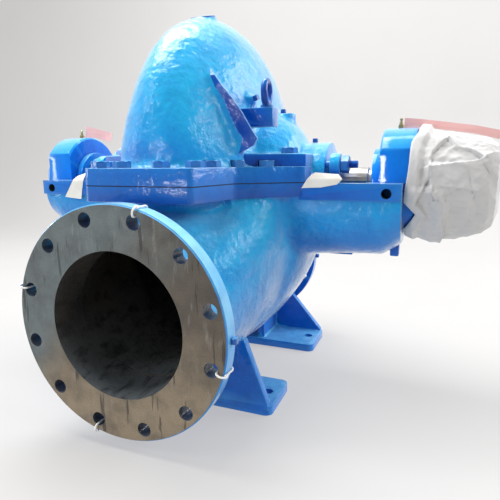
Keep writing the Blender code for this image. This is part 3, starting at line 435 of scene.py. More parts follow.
def paint(mesh, look, test, over=None):
    """Gives a look to the faces whose centres and normals pass the test."""
    count = len(mesh.polygons)
    centres = np.empty(count * 3)
    normals = np.empty(count * 3)
    slots = np.empty(count, dtype=np.int32)
    mesh.polygons.foreach_get("center", centres)
    mesh.polygons.foreach_get("normal", normals)
    mesh.polygons.foreach_get("material_index", slots)
    names = [material.name if material else "" for material in mesh.materials]
    chosen = test(centres.reshape(-1, 3), normals.reshape(-1, 3))
    if over is not None:
        chosen = chosen & np.isin(slots, [i for i, name in enumerate(names) if name == over.name])
    if look.name not in names:
        mesh.materials.append(look)
        names.append(look.name)
    slots[chosen] = names.index(look.name)
    mesh.polygons.foreach_set("material_index", slots)


def box(low, high):
    bm = bmesh.new()
    bmesh.ops.create_cube(bm, size=1.0)
    size = [b - a for a, b in zip(low, high)]
    middle = [(a + b) / 2 for a, b in zip(low, high)]
    bm.transform(Matrix.Translation(middle) @ Matrix.Diagonal((*size, 1.0)))
    return to_mesh(bm, "box")


def along(start, end):
    """The place of a shape that is drawn up from the origin, but runs from start towards end."""
    way = Vector(end) - Vector(start)
    turn = Vector((0, 0, 1)).rotation_difference(way).to_matrix().to_4x4()
    return Matrix.Translation(start) @ turn


def rod(start, end, radius, segments=48, end_radius=None):
    """A round bar, or a cone where the end has a radius of its own."""
    length = (Vector(end) - Vector(start)).length
    bm = bmesh.new()
    bmesh.ops.create_cone(bm, cap_ends=True, segments=segments, radius1=radius,
                          radius2=radius if end_radius is None else end_radius, depth=length)
    bm.transform(along(start, end) @ Matrix.Translation((0, 0, length / 2)))
    return to_mesh(bm, "rod")


def turned(profile, start, end, steps=64, ring=False):
    """A turned shape of (along, radius) pairs measured from start towards end."""
    bm = bmesh.new()
    rings = []
    for height, radius in profile:
        if radius <= 0.0:
            rings.append([bm.verts.new((0, 0, height))])
        else:
            rings.append([bm.verts.new((radius * math.cos(math.tau * k / steps),
                                        radius * math.sin(math.tau * k / steps), height))
                          for k in range(steps)])
    pairs = list(zip(rings, rings[1:]))
    if ring:
        pairs.append((rings[-1], rings[0]))
    for near, far in pairs:
        for k in range(steps):
            after = (k + 1) % steps
            corners = [near[k % len(near)], near[after % len(near)],
                       far[after % len(far)], far[k % len(far)]]
            face = list(dict.fromkeys(corners))
            if len(face) > 2:
                bm.faces.new(face)
    bm.transform(along(start, end))
    return to_mesh(bm, "turned")


def rounded(corners, steps=8):
    """The points of a flat outline, from (x, y, radius) corners."""
    points = []
    count = len(corners)
    for index, (x, y, radius) in enumerate(corners):
        here = Vector((x, y))
        if radius <= 0.0:
            points.append(here)
            continue
        before = (Vector(corners[index - 1][:2]) - here).normalized()
        after = (Vector(corners[(index + 1) % count][:2]) - here).normalized()
        half = before.angle(after) / 2
        middle = here + (before + after).normalized() * (radius / math.sin(half))
        inset = radius / math.tan(half)
        start = here + before * inset - middle
        end = here + after * inset - middle
        first = math.atan2(start.y, start.x)
        sweep = (math.atan2(end.y, end.x) - first + math.pi) % math.tau - math.pi
        for step in range(steps + 1):
            angle = first + sweep * step / steps
            points.append(middle + Vector((math.cos(angle), math.sin(angle))) * radius)
    return points


def prism(corners, low, high, placed=None):
    """A flat outline drawn up from low to high."""
    points = rounded(corners)
    bm = bmesh.new()
    bottom = [bm.verts.new((p[0], p[1], low)) for p in points]
    top = [bm.verts.new((p[0], p[1], high)) for p in points]
    bm.faces.new(bottom)
    bm.faces.new(list(reversed(top)))
    for index in range(len(points)):
        after = (index + 1) % len(points)
        bm.faces.new((bottom[index], top[index], top[after], bottom[after]))
    if placed is not None:
        bm.transform(placed)
    return to_mesh(bm, "prism")


def loft(rings):
    """A closed shape through rings of as many points."""
    bm = bmesh.new()
    loops = [[bm.verts.new(point) for point in ring] for ring in rings]
    for near, far in zip(loops, loops[1:]):
        bridge(bm, near, far)
    bm.faces.new(loops[0])
    bm.faces.new(list(reversed(loops[-1])))
    return to_mesh(bm, "loft")


def flowing(stations, per_span=6):
    """Stations between the given ones, on a smooth curve through them."""
    rows = [np.array(station, float) for station in stations]
    result = []
    for index in range(len(rows) - 1):
        before = rows[max(index - 1, 0)]
        a, b = rows[index], rows[index + 1]
        beyond = rows[min(index + 2, len(rows) - 1)]
        for step in range(per_span):
            t = step / per_span
            result.append(0.5 * (2 * a + (b - before) * t
                                 + (2 * before - 5 * a + 4 * b - beyond) * t * t
                                 + (3 * a - before - 3 * b + beyond) * t ** 3))
    result.append(rows[-1])
    return result


def power(value, exponent):
    return math.copysign(abs(value) ** exponent, value)


# The volute's radius and fullness, by the angle up from the back in degrees
VOLUTE_RADII = (
    (0, 0.235), (45, 0.281), (90, 0.330), (112, 0.345), (140, 0.333),
    (162, 0.308), (180, 0.290), (225, 0.310), (270, 0.350), (315, 0.320),
)
VOLUTE_POWERS = (
    (0, 2.40), (75, 2.40), (108, 2.20), (125, 2.02), (145, 2.00), (167, 2.45), (185, 2.60),
    (215, 2.40), (300, 2.40),
)


def through_knots(knots, angle):
    """The value at an angle on a smooth closed curve through (angle, value) knots."""
    angle = angle % 360
    count = len(knots)
    index = max(i for i in range(count) if knots[i][0] <= angle)
    spans = [knots[(index + k) % count][0] + 360 * ((index + k) // count) for k in (-1, 0, 1, 2)]
    values = [knots[(index + k) % count][1] for k in (-1, 0, 1, 2)]
    width = spans[2] - spans[1]
    t = (angle - spans[1]) / width
    first = (values[2] - values[0]) / (spans[2] - spans[0]) * width
    last = (values[3] - values[1]) / (spans[3] - spans[1]) * width
    return ((2 * t ** 3 - 3 * t ** 2 + 1) * values[1] + (t ** 3 - 2 * t ** 2 + t) * first
            + (-2 * t ** 3 + 3 * t ** 2) * values[2] + (t ** 3 - t ** 2) * last)


def about_shaft(half_width, radius_at, exponent_at, around=120, across=60):
    """A rounded body about the shaft, whose radius and fullness depend on the angle around it."""
    bm = bmesh.new()
    bmesh.ops.create_uvsphere(bm, u_segments=around, v_segments=across, radius=1.0)
    for vert in bm.verts:
        axial = max(-1.0, min(1.0, vert.co.z))
        angle = math.degrees(math.atan2(vert.co.y, vert.co.x)) % 360
        exponent = exponent_at(angle)
        radius = radius_at(angle) * power(math.sin(math.acos(axial)), 2 / exponent)
        vert.co = (half_width * power(axial, 2 / exponent),
                   radius * math.cos(math.radians(angle)),
                   SHAFT_Z + radius * math.sin(math.radians(angle)))
    return to_mesh(bm, "about_shaft")


def volute(half_width, inset=0.0):
    return about_shaft(half_width, lambda angle: through_knots(VOLUTE_RADII, angle) - inset,
                       lambda angle: through_knots(VOLUTE_POWERS, angle))


def chamber(inset=0.0):
    return about_shaft(0.218 - inset, lambda angle: 0.162 - inset, lambda angle: 3.0)


# Rings of a passage as (y, half width, middle height, reach up, reach down, fullness)
SUCTION_RINGS = (
    (-0.405, 0.150, 0.225, 0.150, 0.150, 2.0), (-0.350, 0.152, 0.228, 0.155, 0.152, 2.0),
    (-0.280, 0.168, 0.250, 0.160, 0.172, 2.0), (-0.200, 0.188, 0.285, 0.140, 0.210, 2.0),
    (-0.125, 0.202, 0.325, 0.110, 0.257, 1.95), (-0.090, 0.224, 0.340, 0.095, 0.273, 1.85),
    (-0.040, 0.240, 0.350, 0.085, 0.285, 1.75), (0.040, 0.240, 0.355, 0.080, 0.270, 1.8),
    (0.110, 0.205, 0.350, 0.075, 0.205, 2.0), (0.150, 0.140, 0.345, 0.055, 0.130, 2.0),
)
DISCHARGE_RINGS = (
    (0.020, 0.125, 0.260, 0.120, 0.150, 2.6), (0.120, 0.124, 0.245, 0.130, 0.140, 2.3),
    (0.200, 0.121, 0.230, 0.124, 0.124, 2.0), (0.262, 0.119, 0.225, 0.119, 0.119, 2.0),
)
# The branch's middle line as (x, y, z, radius)
BRANCH = (
    (0.036, -0.345, 0.254, 0.104), (0.052, -0.300, 0.265, 0.101), (0.076, -0.230, 0.290, 0.100),
    (0.094, -0.160, 0.325, 0.100), (0.100, -0.112, 0.375, 0.101), (0.102, -0.085, 0.450, 0.103),
)


def egg_ring(y, half_width, middle_z, up, down, exponent, inset=0.0, points=72):
    ring = []
    for index in range(points):
        angle = math.tau * index / points
        x = (half_width - inset) * power(math.cos(angle), 2 / exponent)
        reach = (up if math.sin(angle) >= 0 else down) - inset
        ring.append((x, y, middle_z + reach * power(math.sin(angle), 2 / exponent)))
    return ring


def suction_body(inset=0.0):
    stations = SUCTION_RINGS if inset == 0.0 else SUCTION_RINGS[1:-1]
    return loft([egg_ring(*station, inset=inset) for station in flowing(stations)])


def suction_branch(side):
    """The shoulder of the suction passage on one side."""
    stations = flowing(BRANCH)
    rings = []
    for index, (x, y, z, radius) in enumerate(stations):
        near = Vector(stations[max(index - 1, 0)][:3])
        far = Vector(stations[min(index + 1, len(stations) - 1)][:3])
        way = (far - near).normalized()
        across = Vector((1, 0, 0))
        across = (across - way * across.dot(way)).normalized()
        up = way.cross(across)
        ring = []
        for step in range(40):
            angle = math.tau * step / 40
            point = Vector((x, y, z)) + (across * math.cos(angle) + up * math.sin(angle)) * radius
            ring.append((side * point.x, point.y, point.z))
        rings.append(ring)
    return loft(rings)


# The split flange's outline on one side as (x, y, corner radius)
PARTING_FRONT = (
    (0.240, -0.132, 0.004), (0.228, -0.132, 0.016), (0.128, -0.212, 0.020), (0.108, -0.344, 0.012),
)
PARTING_BACK = (
    (0.240, 0.132, 0.004), (0.228, 0.132, 0.016), (0.166, 0.165, 0.020),
    (0.142, 0.200, 0.020), (0.114, 0.245, 0.020),
)


def parting_outline(inset=0.0):
    right = list(reversed(PARTING_FRONT)) + list(PARTING_BACK)
    left = [(-x, y, radius) for x, y, radius in reversed(right)]
    return [(x - math.copysign(inset, x), y - math.copysign(inset, y), radius)
            for x, y, radius in right + left]


def arm_ring(x, depth, half_width, exponent, top=SHAFT_Z - 0.015, points=28):
    ring = []
    for index in range(points + 1):
        angle = math.pi * index / points
        y = half_width * power(math.cos(angle), 2 / exponent)
        z = SHAFT_Z - 0.03 - (depth - 0.03) * power(math.sin(angle), 2 / exponent)
        ring.append((x, y, z))
    ring.append((x, -half_width, top))
    ring.append((x, half_width, top))
    return ring


# Each bearing arm's sections as (x, depth under the shaft, half width, fullness)
DRIVE_ARM = (
    (0.150, 0.175, 0.127, 3.4), (0.210, 0.160, 0.127, 3.4), (0.300, 0.150, 0.127, 3.4),
    (0.384, 0.148, 0.127, 3.2), (0.402, 0.138, 0.127, 2.9), (0.428, 0.118, 0.124, 2.6),
)
OUTBOARD_ARM = (
    (0.150, 0.175, 0.127, 2.8), (0.210, 0.160, 0.127, 2.6), (0.300, 0.150, 0.126, 2.4),
    (0.384, 0.145, 0.125, 2.2), (0.402, 0.130, 0.124, 2.1), (0.428, 0.113, 0.122, 2.0),
)


def arm_shape(side):
    """One bearing arm, a little longer than it is cut to."""
    stations = DRIVE_ARM if side > 0 else OUTBOARD_ARM
    return loft([arm_ring(side * x, depth, width, exponent)
                 for x, depth, width, exponent in stations])


def arm_fittings(side):
    """The machined rail along the arm's top, the lug under its end and the drain strip."""
    return [
        crisp(side_box(side, (RAIL_START, -RAIL_HALF, SHAFT_Z - 0.034),
                       (ARM_END, RAIL_HALF, SHAFT_Z + 0.02))),
        crisp(side_box(side, (0.396, -0.020, SHAFT_Z - 0.156), (0.414, 0.020, SHAFT_Z - 0.110)), 0.003),
        crisp(side_box(side, (0.242, -0.014, SHAFT_Z - 0.160), (0.318, 0.014, SHAFT_Z - 0.140)), 0.003),
    ]


def side_box(side, low, high):
    """A block at one end of the shaft."""
    ends = sorted((side * low[0], side * high[0]))
    return box((ends[0], *low[1:]), (ends[1], *high[1:]))


def slab(y, z):
    """A block longer than the pump, between two places along Y and two heights."""
    return box((-FAR_X, y[0], z[0]), (FAR_X, y[1], z[1]))


def shaft_rod(reach, radius, segments=48):
    """A bar about the shaft, as long to one end as to the other."""
    return rod((-reach, 0, SHAFT_Z), (reach, 0, SHAFT_Z), radius, segments)


def end_rod(side, start, end, radius):
    """A bar about the shaft at one end."""
    return rod((side * start, 0, SHAFT_Z), (side * end, 0, SHAFT_Z), radius, 96)


def end_turned(side, profile, steps=96, ring=True):
    """A turned shape about the shaft at one end."""
    return turned(profile, (0, 0, SHAFT_Z), (side, 0, SHAFT_Z), steps, ring)


def upright_turned(profile, steps=48):
    return turned(profile, (0, 0, 0), (0, 0, 1), steps)


def nozzle_rod(start, end, radius, segments=128, end_radius=None):
    """A bar along the nozzles' axis."""
    return rod((0, start, NOZZLE_Z), (0, end, NOZZLE_Z), radius, segments, end_radius)


def flattened(side, shape, ends, half_width):
    """A drum about the shaft with its two sides cut flat."""
    for flat in (-1, 1):
        low, high = sorted((flat * half_width, flat * 0.2))
        shape = cut(shape, [side_box(side, (ends[0], low, 0.2), (ends[1], high, 0.7))])
    return shape


def foot_shapes(inset=0.0):
    """Both feet, each a plate, a web that narrows upwards and two ribs."""
    shapes = []
    half = FOOT_HALF - inset
    for low_y, high_y, outward, shoulder in FEET:
        near, far = low_y + inset, high_y - inset
        plate = prism([(-half, near, 0.016), (half, near, 0.016), (half, far, 0.016),
                       (-half, far, 0.016)], -0.004, FOOT_HEIGHT - inset)
        web_y = low_y + 0.009 if outward < 0 else high_y - 0.009
        upright = Matrix.Translation((0, web_y, 0)) @ Matrix.Rotation(math.pi / 2, 4, 'X')
        foot, bend, top = 0.200 - inset, 0.198 - inset, shoulder - inset
        web = prism([(-foot, 0.010, 0), (foot, 0.010, 0), (bend, 0.024, 0), (top, 0.150, 0),
                     (-top, 0.150, 0), (-bend, 0.024, 0)], -0.009 + inset, 0.009 - inset, upright)
        shapes += [plate, web]
        rib_ends = sorted((web_y, high_y - 0.01 if outward < 0 else low_y + 0.01))
        for side in (-1, 1):
            shapes.append(side_box(side, (0.050 + inset, rib_ends[0], 0.010),
                                   (0.068 - inset, rib_ends[1], 0.120)))
    return shapes


# The web's outer edge as (x, y, height over the shaft)
RIB_EDGE = (
    (0.0735, -0.197, 0.2140), (0.0900, -0.211, 0.1960), (0.1055, -0.212, 0.1750),
    (0.1235, -0.208, 0.1535), (0.1400, -0.203, 0.1280), (0.1560, -0.198, 0.0985),
    (0.1660, -0.194, 0.0830), (0.1580, -0.194, 0.0700), (0.1280, -0.192, 0.0560),
)


def rib(side, inset=0.0, reach=0.085):
    """The web beside a lifting lug, down to the suction chamber."""
    rings = []
    for x, y, z in RIB_EDGE:
        height = SHAFT_Z + z
        nose = x - inset
        flare = reach / 0.085
        corners = ((nose, y + inset / 2), (nose - 0.001, y + 0.009 - inset / 2),
                   (x - reach, y + 0.009 + 0.030 * flare - inset / 2),
                   (x - reach, y + 0.012 * flare + inset / 2))
        rings.append([(side * a, side * b, height) for a, b in corners])
    return loft(rings)


# The round button on top of the volute, leaning a little to the front
BUTTON_ROOT = (0.008, -0.078, SHAFT_Z + 0.290)
BUTTON_NECK = (0.008, -0.084, SHAFT_Z + 0.310)
BUTTON_FACE = (0.008, -0.091, SHAFT_Z + 0.3345)
BUTTON_RADIUS = 0.026
BOSS_TOP = SHAFT_Z + 0.140
EYEBOLT = (0.1695, -0.151)
PLUG_TOP = SHAFT_Z + 0.144
SIDE_PLUG = Vector((0.129, -0.121, SHAFT_Z + 0.1605))
SIDE_WAY = Vector((0.85, -0.25, 0.30)).normalized()


def cast(shapes, fillet):
    """One soft cast body from overlapping shapes, with filleted inner corners."""
    steps = [
        ('REMESH', {"mode": 'VOXEL', "voxel_size": VOXEL}),
        ('DISPLACE', {"strength": fillet, "mid_level": 0.0}),
        ('REMESH', {"mode": 'VOXEL', "voxel_size": VOXEL}),
        ('DISPLACE', {"strength": -fillet, "mid_level": 0.0}),
        ('SMOOTH', {"factor": 0.5, "iterations": 3}),
    ]
    return evaluated(joined(shapes), steps)


def roughen(mesh, seed, amount=0.0009, scale=22.0):
    """Moves the points of a casting along their normals by a slow noise."""
    mesh.update()
    points = [v.co.copy() for v in mesh.vertices]
    normals = [v.normal.copy() for v in mesh.vertices]
    offset = Vector((seed, seed * 0.7, seed * 1.3))
    for vert, point, normal in zip(mesh.vertices, points, normals):
        value = (noise.noise(point * scale + offset) + 0.5 * noise.noise(point * scale * 2.3 + offset)
                 + 0.45 * noise.noise(point * scale * 5.1 + offset))
        vert.co = point + normal * (amount * value)
    mesh.update()


def with_look(mesh, look):
    mesh.materials.clear()
    mesh.materials.append(look)
    return mesh


def with_looks(look, meshes):
    return [with_look(mesh, look) for mesh in meshes]


def hollows(suction):
    """The casing's inner passages as cutters of dark iron."""
    # The splitter's outside takes the lighter iron, painted light.
    nose = with_look(volute(VOLUTE_HALF + WALL), LIT_NOSE_IRON)
    spaces = [cut(with_look(chamber(WALL), BORE_IRON), [nose])]
    if suction:
        spaces.append(cut(with_look(suction_body(PASSAGE_INSET), BORE_IRON), [nose]))
    return spaces + with_looks(BORE_IRON, [
        volute(VOLUTE_HALF, WALL), shaft_rod(0.30, 0.046), shaft_rod(0.16, 0.090)])


def flange_disc(face_y, radius, thick):
    """A nozzle flange with a shallow raised face."""
    inward = -1 if face_y > 0 else 1
    profile = ((-0.001, 0.0), (-0.001, radius - 0.0022), (0.0020, radius - 0.0022), (0.0028, radius),
               (thick - 0.001, radius), (thick, radius - 0.001), (thick, 0.0))
    return turned(profile, (0, face_y, NOZZLE_Z), (0, face_y + inward, NOZZLE_Z), 160)


def flange_holes(face_y, thick, circle, count, radius):
    holes = []
    inward = -1 if face_y > 0 else 1
    for index in range(count):
        angle = math.tau * (index + 0.5) / count
        x = circle * math.sin(angle)
        z = NOZZLE_Z + circle * math.cos(angle)
        holes.append(rod((x, face_y - inward * 0.01, z), (x, face_y + inward * (thick + 0.01), z),
                         radius, 32))
    # The holes' walls take the near-black enamel, painted shade.
    return with_looks(HOLE_BLUE, holes)


# Pieces
def piece(name, mesh, look, body="casing", stands_for=(), angle=32):
    """Adds one finished piece in the frame's own place."""
    mesh.transform(Matrix.Translation(SHIFT))
    if look is not None:
        with_look(mesh, look)
    mesh.shade_smooth()
    mesh.set_sharp_from_angle(angle=math.radians(angle))
    made = in_scene(name, mesh)
    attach(made, body)
    if stands_for:
        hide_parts(*stands_for)
    return made


def arm_cutters(side):
    """One arm's trough and end, the housing's seat, the cover's recess and the side holes."""
    trough = loft([arm_ring(side * x, 0.126, 0.098, 2.4, top=SHAFT_Z + 0.02) for x in (0.263, 0.350)])
    seat = flattened(side, end_rod(side, HOUSING_START - 0.0015, 0.47, HOUSING_RADIUS + 0.0006),
                     (0.35, 0.48), HOUSING_FLAT + 0.0003)
    recess = end_rod(side, 0.31, 0.376, 0.0668)
    end = side_box(side, (ARM_END, -0.2, 0.2), (0.5, 0.2, 0.6))
    holes = [rod((side * ARM_HOLE_X, way * 0.142, ARM_HOLE_Z), (side * ARM_HOLE_X, way * 0.082, ARM_HOLE_Z),
                 ARM_HOLE_RADIUS, 40) for way in (-1, 1)]
    return (with_looks(BLUE, [trough, end]) + with_looks(RAIL_BLUE, [seat, recess])
            + with_looks(BORE_IRON, holes))


def lower_casing():
    """The bottom half: nozzles, suction passage, half volute, bearing arms and feet."""
    soft = [
        suction_body(), volute(0.130), chamber(), suction_branch(-1), suction_branch(1),
        loft([egg_ring(*station) for station in flowing(DISCHARGE_RINGS)]),
        shaft_rod(SOFT_BOX_END, SOFT_BOX_RADIUS, 96),
        prism(parting_outline(0.004), FLANGE_BOTTOM + 0.003, SHAFT_Z + 0.02),
        nozzle_rod(SUCTION_Y + 0.005, SUCTION_Y + 0.028, 0.197),
        nozzle_rod(DISCHARGE_Y - 0.005, DISCHARGE_Y - 0.027, 0.166),
        arm_shape(-1), arm_shape(1),
    ]
    body = cast(soft + foot_shapes(0.003), 0.007)
    roughen(body, 3.1)
    # The split flange takes the darker enamel copy, painted shade.
    hard = with_looks(EDGE_BLUE, [crisp(prism(parting_outline(), FLANGE_BOTTOM, SHAFT_Z + 0.02))])
    hard += with_looks(BLUE, [crisp(shaft_rod(BOX_END, BOX_RADIUS, 96))])
    # The feet take the darker enamel copy, painted shade.
    hard += with_looks(FOOT_BLUE, [crisp(shape, 0.002) for shape in foot_shapes()])
    hard += with_looks(RAIL_BLUE, arm_fittings(-1) + arm_fittings(1) + [
        flange_disc(SUCTION_Y, *SUCTION_FLANGE), flange_disc(DISCHARGE_Y, *DISCHARGE_FLANGE)])
    body = unite(with_look(body, BLUE), hard)
    cutters = hollows(suction=True) + with_looks(BORE_IRON, [
        nozzle_rod(SUCTION_Y - 0.02, -0.330, SUCTION_BORE, 160),
        nozzle_rod(DISCHARGE_Y + 0.02, 0.199, DISCHARGE_BORE),
        nozzle_rod(0.200, 0.115, DISCHARGE_BORE, 96, 0.060)])
    cutters += [
        with_look(slab((-FAR_Y, FAR_Y), (SHAFT_Z - PART_GAP, 1.2)), RAIL_BLUE),
        with_look(slab((-FAR_Y, FAR_Y), (-0.2, 0.0)), BLUE),
        with_look(slab((-FAR_Y, SUCTION_Y), (-0.1, 0.6)), IRON),
        with_look(slab((DISCHARGE_Y, FAR_Y), (-0.1, 0.6)), IRON),
    ]
    cutters += arm_cutters(-1) + arm_cutters(1)
    cutters += with_looks(BLUE, [
        rod((side * FOOT_HOLE_X, y, -0.01), (side * FOOT_HOLE_X, y, 0.04), FOOT_HOLE_RADIUS, 32)
        for y in FOOT_HOLE_ROWS for side in (-1, 1)])
    cutters += flange_holes(SUCTION_Y, SUCTION_FLANGE[1], *SUCTION_HOLES)
    cutters += flange_holes(DISCHARGE_Y, DISCHARGE_FLANGE[1], *DISCHARGE_HOLES)
    body = cut(body, cutters)
    # The rim takes the paler enamel copy, a painted reflection.
    paint(body, RIM_SHEEN_BLUE, lambda c, n: (c[:, 1] < SUCTION_Y + 0.03)
          & (np.hypot(c[:, 0], c[:, 2] - NOZZLE_Z) > 0.2012) & (n[:, 1] < 0.5))
    # Low faces by the feet take the darker enamel copy, painted shade.
    paint(body, FOOT_BLUE, lambda c, n: (c[:, 2] < 0.15) & (c[:, 1] > -0.235) & (c[:, 1] < 0.245)
          & (np.abs(c[:, 1]) > 0.10) & (n[:, 2] < 0.9) & (np.abs(c[:, 0]) > 0.10), over=BLUE)
    return piece("lower_casing_cast", body, None, stands_for=["lower_casing"])


# Hex heads on the front half of the split flange, then on each side and at the back
FLANGE_BOLTS = [(-0.089, -0.320), (-0.0425, -0.320), (0.0366, -0.318), (0.0931, -0.300)]
SIDE_BOLTS = [(0.104, -0.258), (0.1255, -0.195), (0.1721, -0.1577), (0.118, 0.215), (0.143, 0.172)]
FLANGE_BOLTS += [(side * x, y) for side in (-1, 1) for x, y in SIDE_BOLTS]
PAD_BOLTS = [(side * 0.2003, y) for side in (-1, 1) for y in (-0.100, 0.100)]
BOLT_SEATS = ((FLANGE_BOLTS, FLANGE_TOP), (PAD_BOLTS, PAD_TOP))
HEAD_ACROSS = 0.0286
HEAD_HEIGHT = 0.0119
SEAT_RADIUS = 0.0170


# The outline of the raised pad beside the volute, as (x, y, corner radius)
PAD_CORNERS = ((0.098, -0.192, 0.006), (0.222, -0.128, 0.02), (0.238, -0.118, 0.004),
               (0.238, 0.118, 0.004), (0.098, 0.146, 0.01))


def pad_outline(side):
    outline = [(side * x, y, radius) for x, y, radius in PAD_CORNERS]
    return outline if side > 0 else outline[::-1]


def upper_casing():
    """The top half: volute, suction chambers, stuffing boxes, ribs and lifting lugs."""
    soft = [
        volute(0.150), chamber(), shaft_rod(SOFT_BOX_END, SOFT_BOX_RADIUS, 96),
        prism(parting_outline(0.004), SHAFT_Z - 0.02, FLANGE_TOP - 0.003),
        rod(BUTTON_ROOT, BUTTON_FACE, BUTTON_RADIUS),
    ]
    # The split flange takes the darker enamel copy, painted shade.
    hard = with_looks(EDGE_BLUE, [crisp(prism(parting_outline(), SHAFT_Z - 0.02, FLANGE_TOP))])
    hard += with_looks(BLUE, [crisp(shaft_rod(BOX_END, BOX_RADIUS, 96))])
    hard += with_looks(BOLT_BLUE, [crisp(rod(BUTTON_NECK, BUTTON_FACE, BUTTON_RADIUS, 64), 0.002)])
    for side in (-1, 1):
        pad = pad_outline(side)
        near, far = sorted((side * -0.168, side * -0.134))
        # Pads, lugs and ribs take the darker enamel copy, painted shade.
        hard += with_looks(EDGE_BLUE, [
            crisp(prism(pad, SHAFT_Z, PAD_TOP), 0.003, 3),
            crisp(side_box(side, (0.030, near, SHAFT_Z + 0.105), (0.187, far, BOSS_TOP)), 0.002),
            crisp(rib(side, 0.0, 0.030), 0.001)])
        soft += [
            prism([(x * 0.97, y * 0.97, radius) for x, y, radius in pad], SHAFT_Z, PAD_TOP - 0.003),
            side_box(side, (0.030, near + 0.003, SHAFT_Z + 0.108),
                     (0.184, far - 0.003, BOSS_TOP - 0.003)),
            rib(side, 0.003),
            rod((side * 0.162, 0, SHAFT_Z + 0.10), (side * 0.162, 0, PLUG_TOP), 0.020),
        ]
    soft.append(rod(SIDE_PLUG - SIDE_WAY * 0.03, SIDE_PLUG + SIDE_WAY * 0.005, 0.010))
    body = cast(soft, 0.009)
    roughen(body, 8.4)
    body = unite(with_look(body, BLUE), hard)
    cutters = hollows(suction=False)
    cutters += with_looks(BLUE, [slab((-FAR_Y, FAR_Y), (0.0, SHAFT_Z + PART_GAP))])
    for places, seat in BOLT_SEATS:
        cutters += with_looks(EDGE_BLUE, [
            rod((x, y, seat + 0.0001), (x, y, seat + HEAD_HEIGHT + 0.0008), SEAT_RADIUS, 40)
            for x, y in places])
    return piece("upper_casing_cast", cut(body, cutters), None,
                 stands_for=["upper_casing"])


def hex_bolt(across, height, chamfer=0.0012):
    """A hex head standing on z = 0, its corners chamfered at the top."""
    corner = across / math.sqrt(3)
    head = rod((0, 0, 0), (0, 0, height), corner, 6)
    cone = upright_turned(((-0.001, 0.0), (-0.001, corner + 0.001),
                           (height - 1.6 * chamfer, corner + 0.001),
                           (height, across / 2 - 0.3 * chamfer), (height, 0.0)))
    return combine(head, [cone], 'INTERSECT')


def casing_bolts():
    """The cap screws that close the casing, one mesh."""
    head = hex_bolt(HEAD_ACROSS, HEAD_HEIGHT)
    heads = []
    for places, seat in BOLT_SEATS:
        for index, (x, y) in enumerate(places):
            turn = Matrix.Rotation(0.9 * index * index + 0.3, 4, 'Z')
            heads.append(moved(head, Matrix.Translation((x, y, seat)) @ turn))
    return piece("casing_bolts", joined(heads), BOLT_BLUE)


def end_name(side):
    return "drive" if side > 0 else "outboard"


SHAFT_BORE = 0.026
COVER_BORE = 0.0258


def end_piece(name, side, mesh, look, stands_for):
    """One piece of the drive end or the outboard end, in place of the CAD node of that end."""
    end = end_name(side)
    return piece(name + "_" + end, mesh, look, stands_for=[stands_for + "_" + end])


def bearing_housing(side, chamfer=0.004):
    low, high, radius = HOUSING_START, HOUSING_STOP, HOUSING_RADIUS
    profile = ((low, SHAFT_BORE), (low, radius - chamfer), (low + chamfer, radius),
               (high - chamfer, radius), (high, radius - chamfer), (high, SHAFT_BORE))
    drum = flattened(side, end_turned(side, profile, 160), (0.36, 0.46), HOUSING_FLAT)
    end_piece("bearing_cartridge", side, crisp(drum, 0.0008), DRUM_BLUE,
              "bearing_housing")


def ring_shape(side, low, high, radius, bore, edge=0.002):
    profile = ((low, bore), (low, radius - edge), (low + edge * 0.3, radius - edge * 0.3),
               (low + edge, radius), (high - edge, radius), (high - edge * 0.3, radius - edge * 0.3),
               (high, radius - edge), (high, bore))
    return end_turned(side, profile, ring=bore > 0.0)


def covers(side):
    """The bearing's covers; the outboard one is closed, because no shaft passes through it."""
    end_piece("inner_cap", side, ring_shape(side, 0.3565, 0.3727, 0.066, COVER_BORE), DRUM_BLUE,
              "inner_cover")
    bore = COVER_BORE if side > 0 else 0.0
    end_piece("outer_cap", side, ring_shape(side, 0.4413, 0.455, 0.078, bore), DRUM_BLUE,
              "outer_cover")


STUD_RADIUS = 0.0078


def gland(side, low=0.2765, high=0.290):
    """The packing gland with its two ears, studs and nuts."""
    profile = ((low - 0.026, 0.0335), (low - 0.026, 0.0450), (low, 0.0450), (low, 0.0505),
               (low + 0.0015, 0.052), (high - 0.0015, 0.052), (high, 0.0505), (high, 0.0335))
    ears = []
    hardware = []
    for way in (-1, 1):
        y, z = way * 0.060, SHAFT_Z - way * 0.034
        ears.append(crisp(rod((side * low, y, z), (side * 0.296, y, z), 0.0225), 0.002, 3))
        place = Matrix.Translation((side * 0.2962, y, z)) @ Matrix.Rotation(side * math.pi / 2, 4, 'Y')
        turn = Matrix.Translation((0, 0, 0.0023)) @ Matrix.Rotation(0.35 * way, 4, 'Z')
        washer = rod((0, 0, 0), (0, 0, 0.0022), 0.0165, 40)
        nut = moved(hex_bolt(0.0310, 0.0150), turn)
        root = rod((0, 0, -0.0345), (0, 0, -0.0200), STUD_RADIUS, 24)
        hardware += [moved(shape, place) for shape in (washer, nut, threaded(0.0165, 0.0340), root)]
    bore = rod((side * 0.22, 0, SHAFT_Z), (side * 0.34, 0, SHAFT_Z), 0.0337, 96)
    body = cut(unite(end_turned(side, profile), ears), [bore])
    end_piece("packing_gland", side, body, BLUE, "gland")
    piece("gland_nuts_" + end_name(side), joined(hardware), BOLT_BLUE)


def threaded(low, high, pitch=0.0018, depth=0.0008):
    """A length of stud with a ridge for each turn of its thread."""
    profile = [(low, 0.0)]
    height = low
    while height < high - pitch:
        profile += [(height, STUD_RADIUS - depth), (height + pitch / 2, STUD_RADIUS)]
        height += pitch
    profile += [(high - 0.001, STUD_RADIUS - depth), (high, STUD_RADIUS - 0.0022), (high, 0.0)]
    return upright_turned(profile, 32)


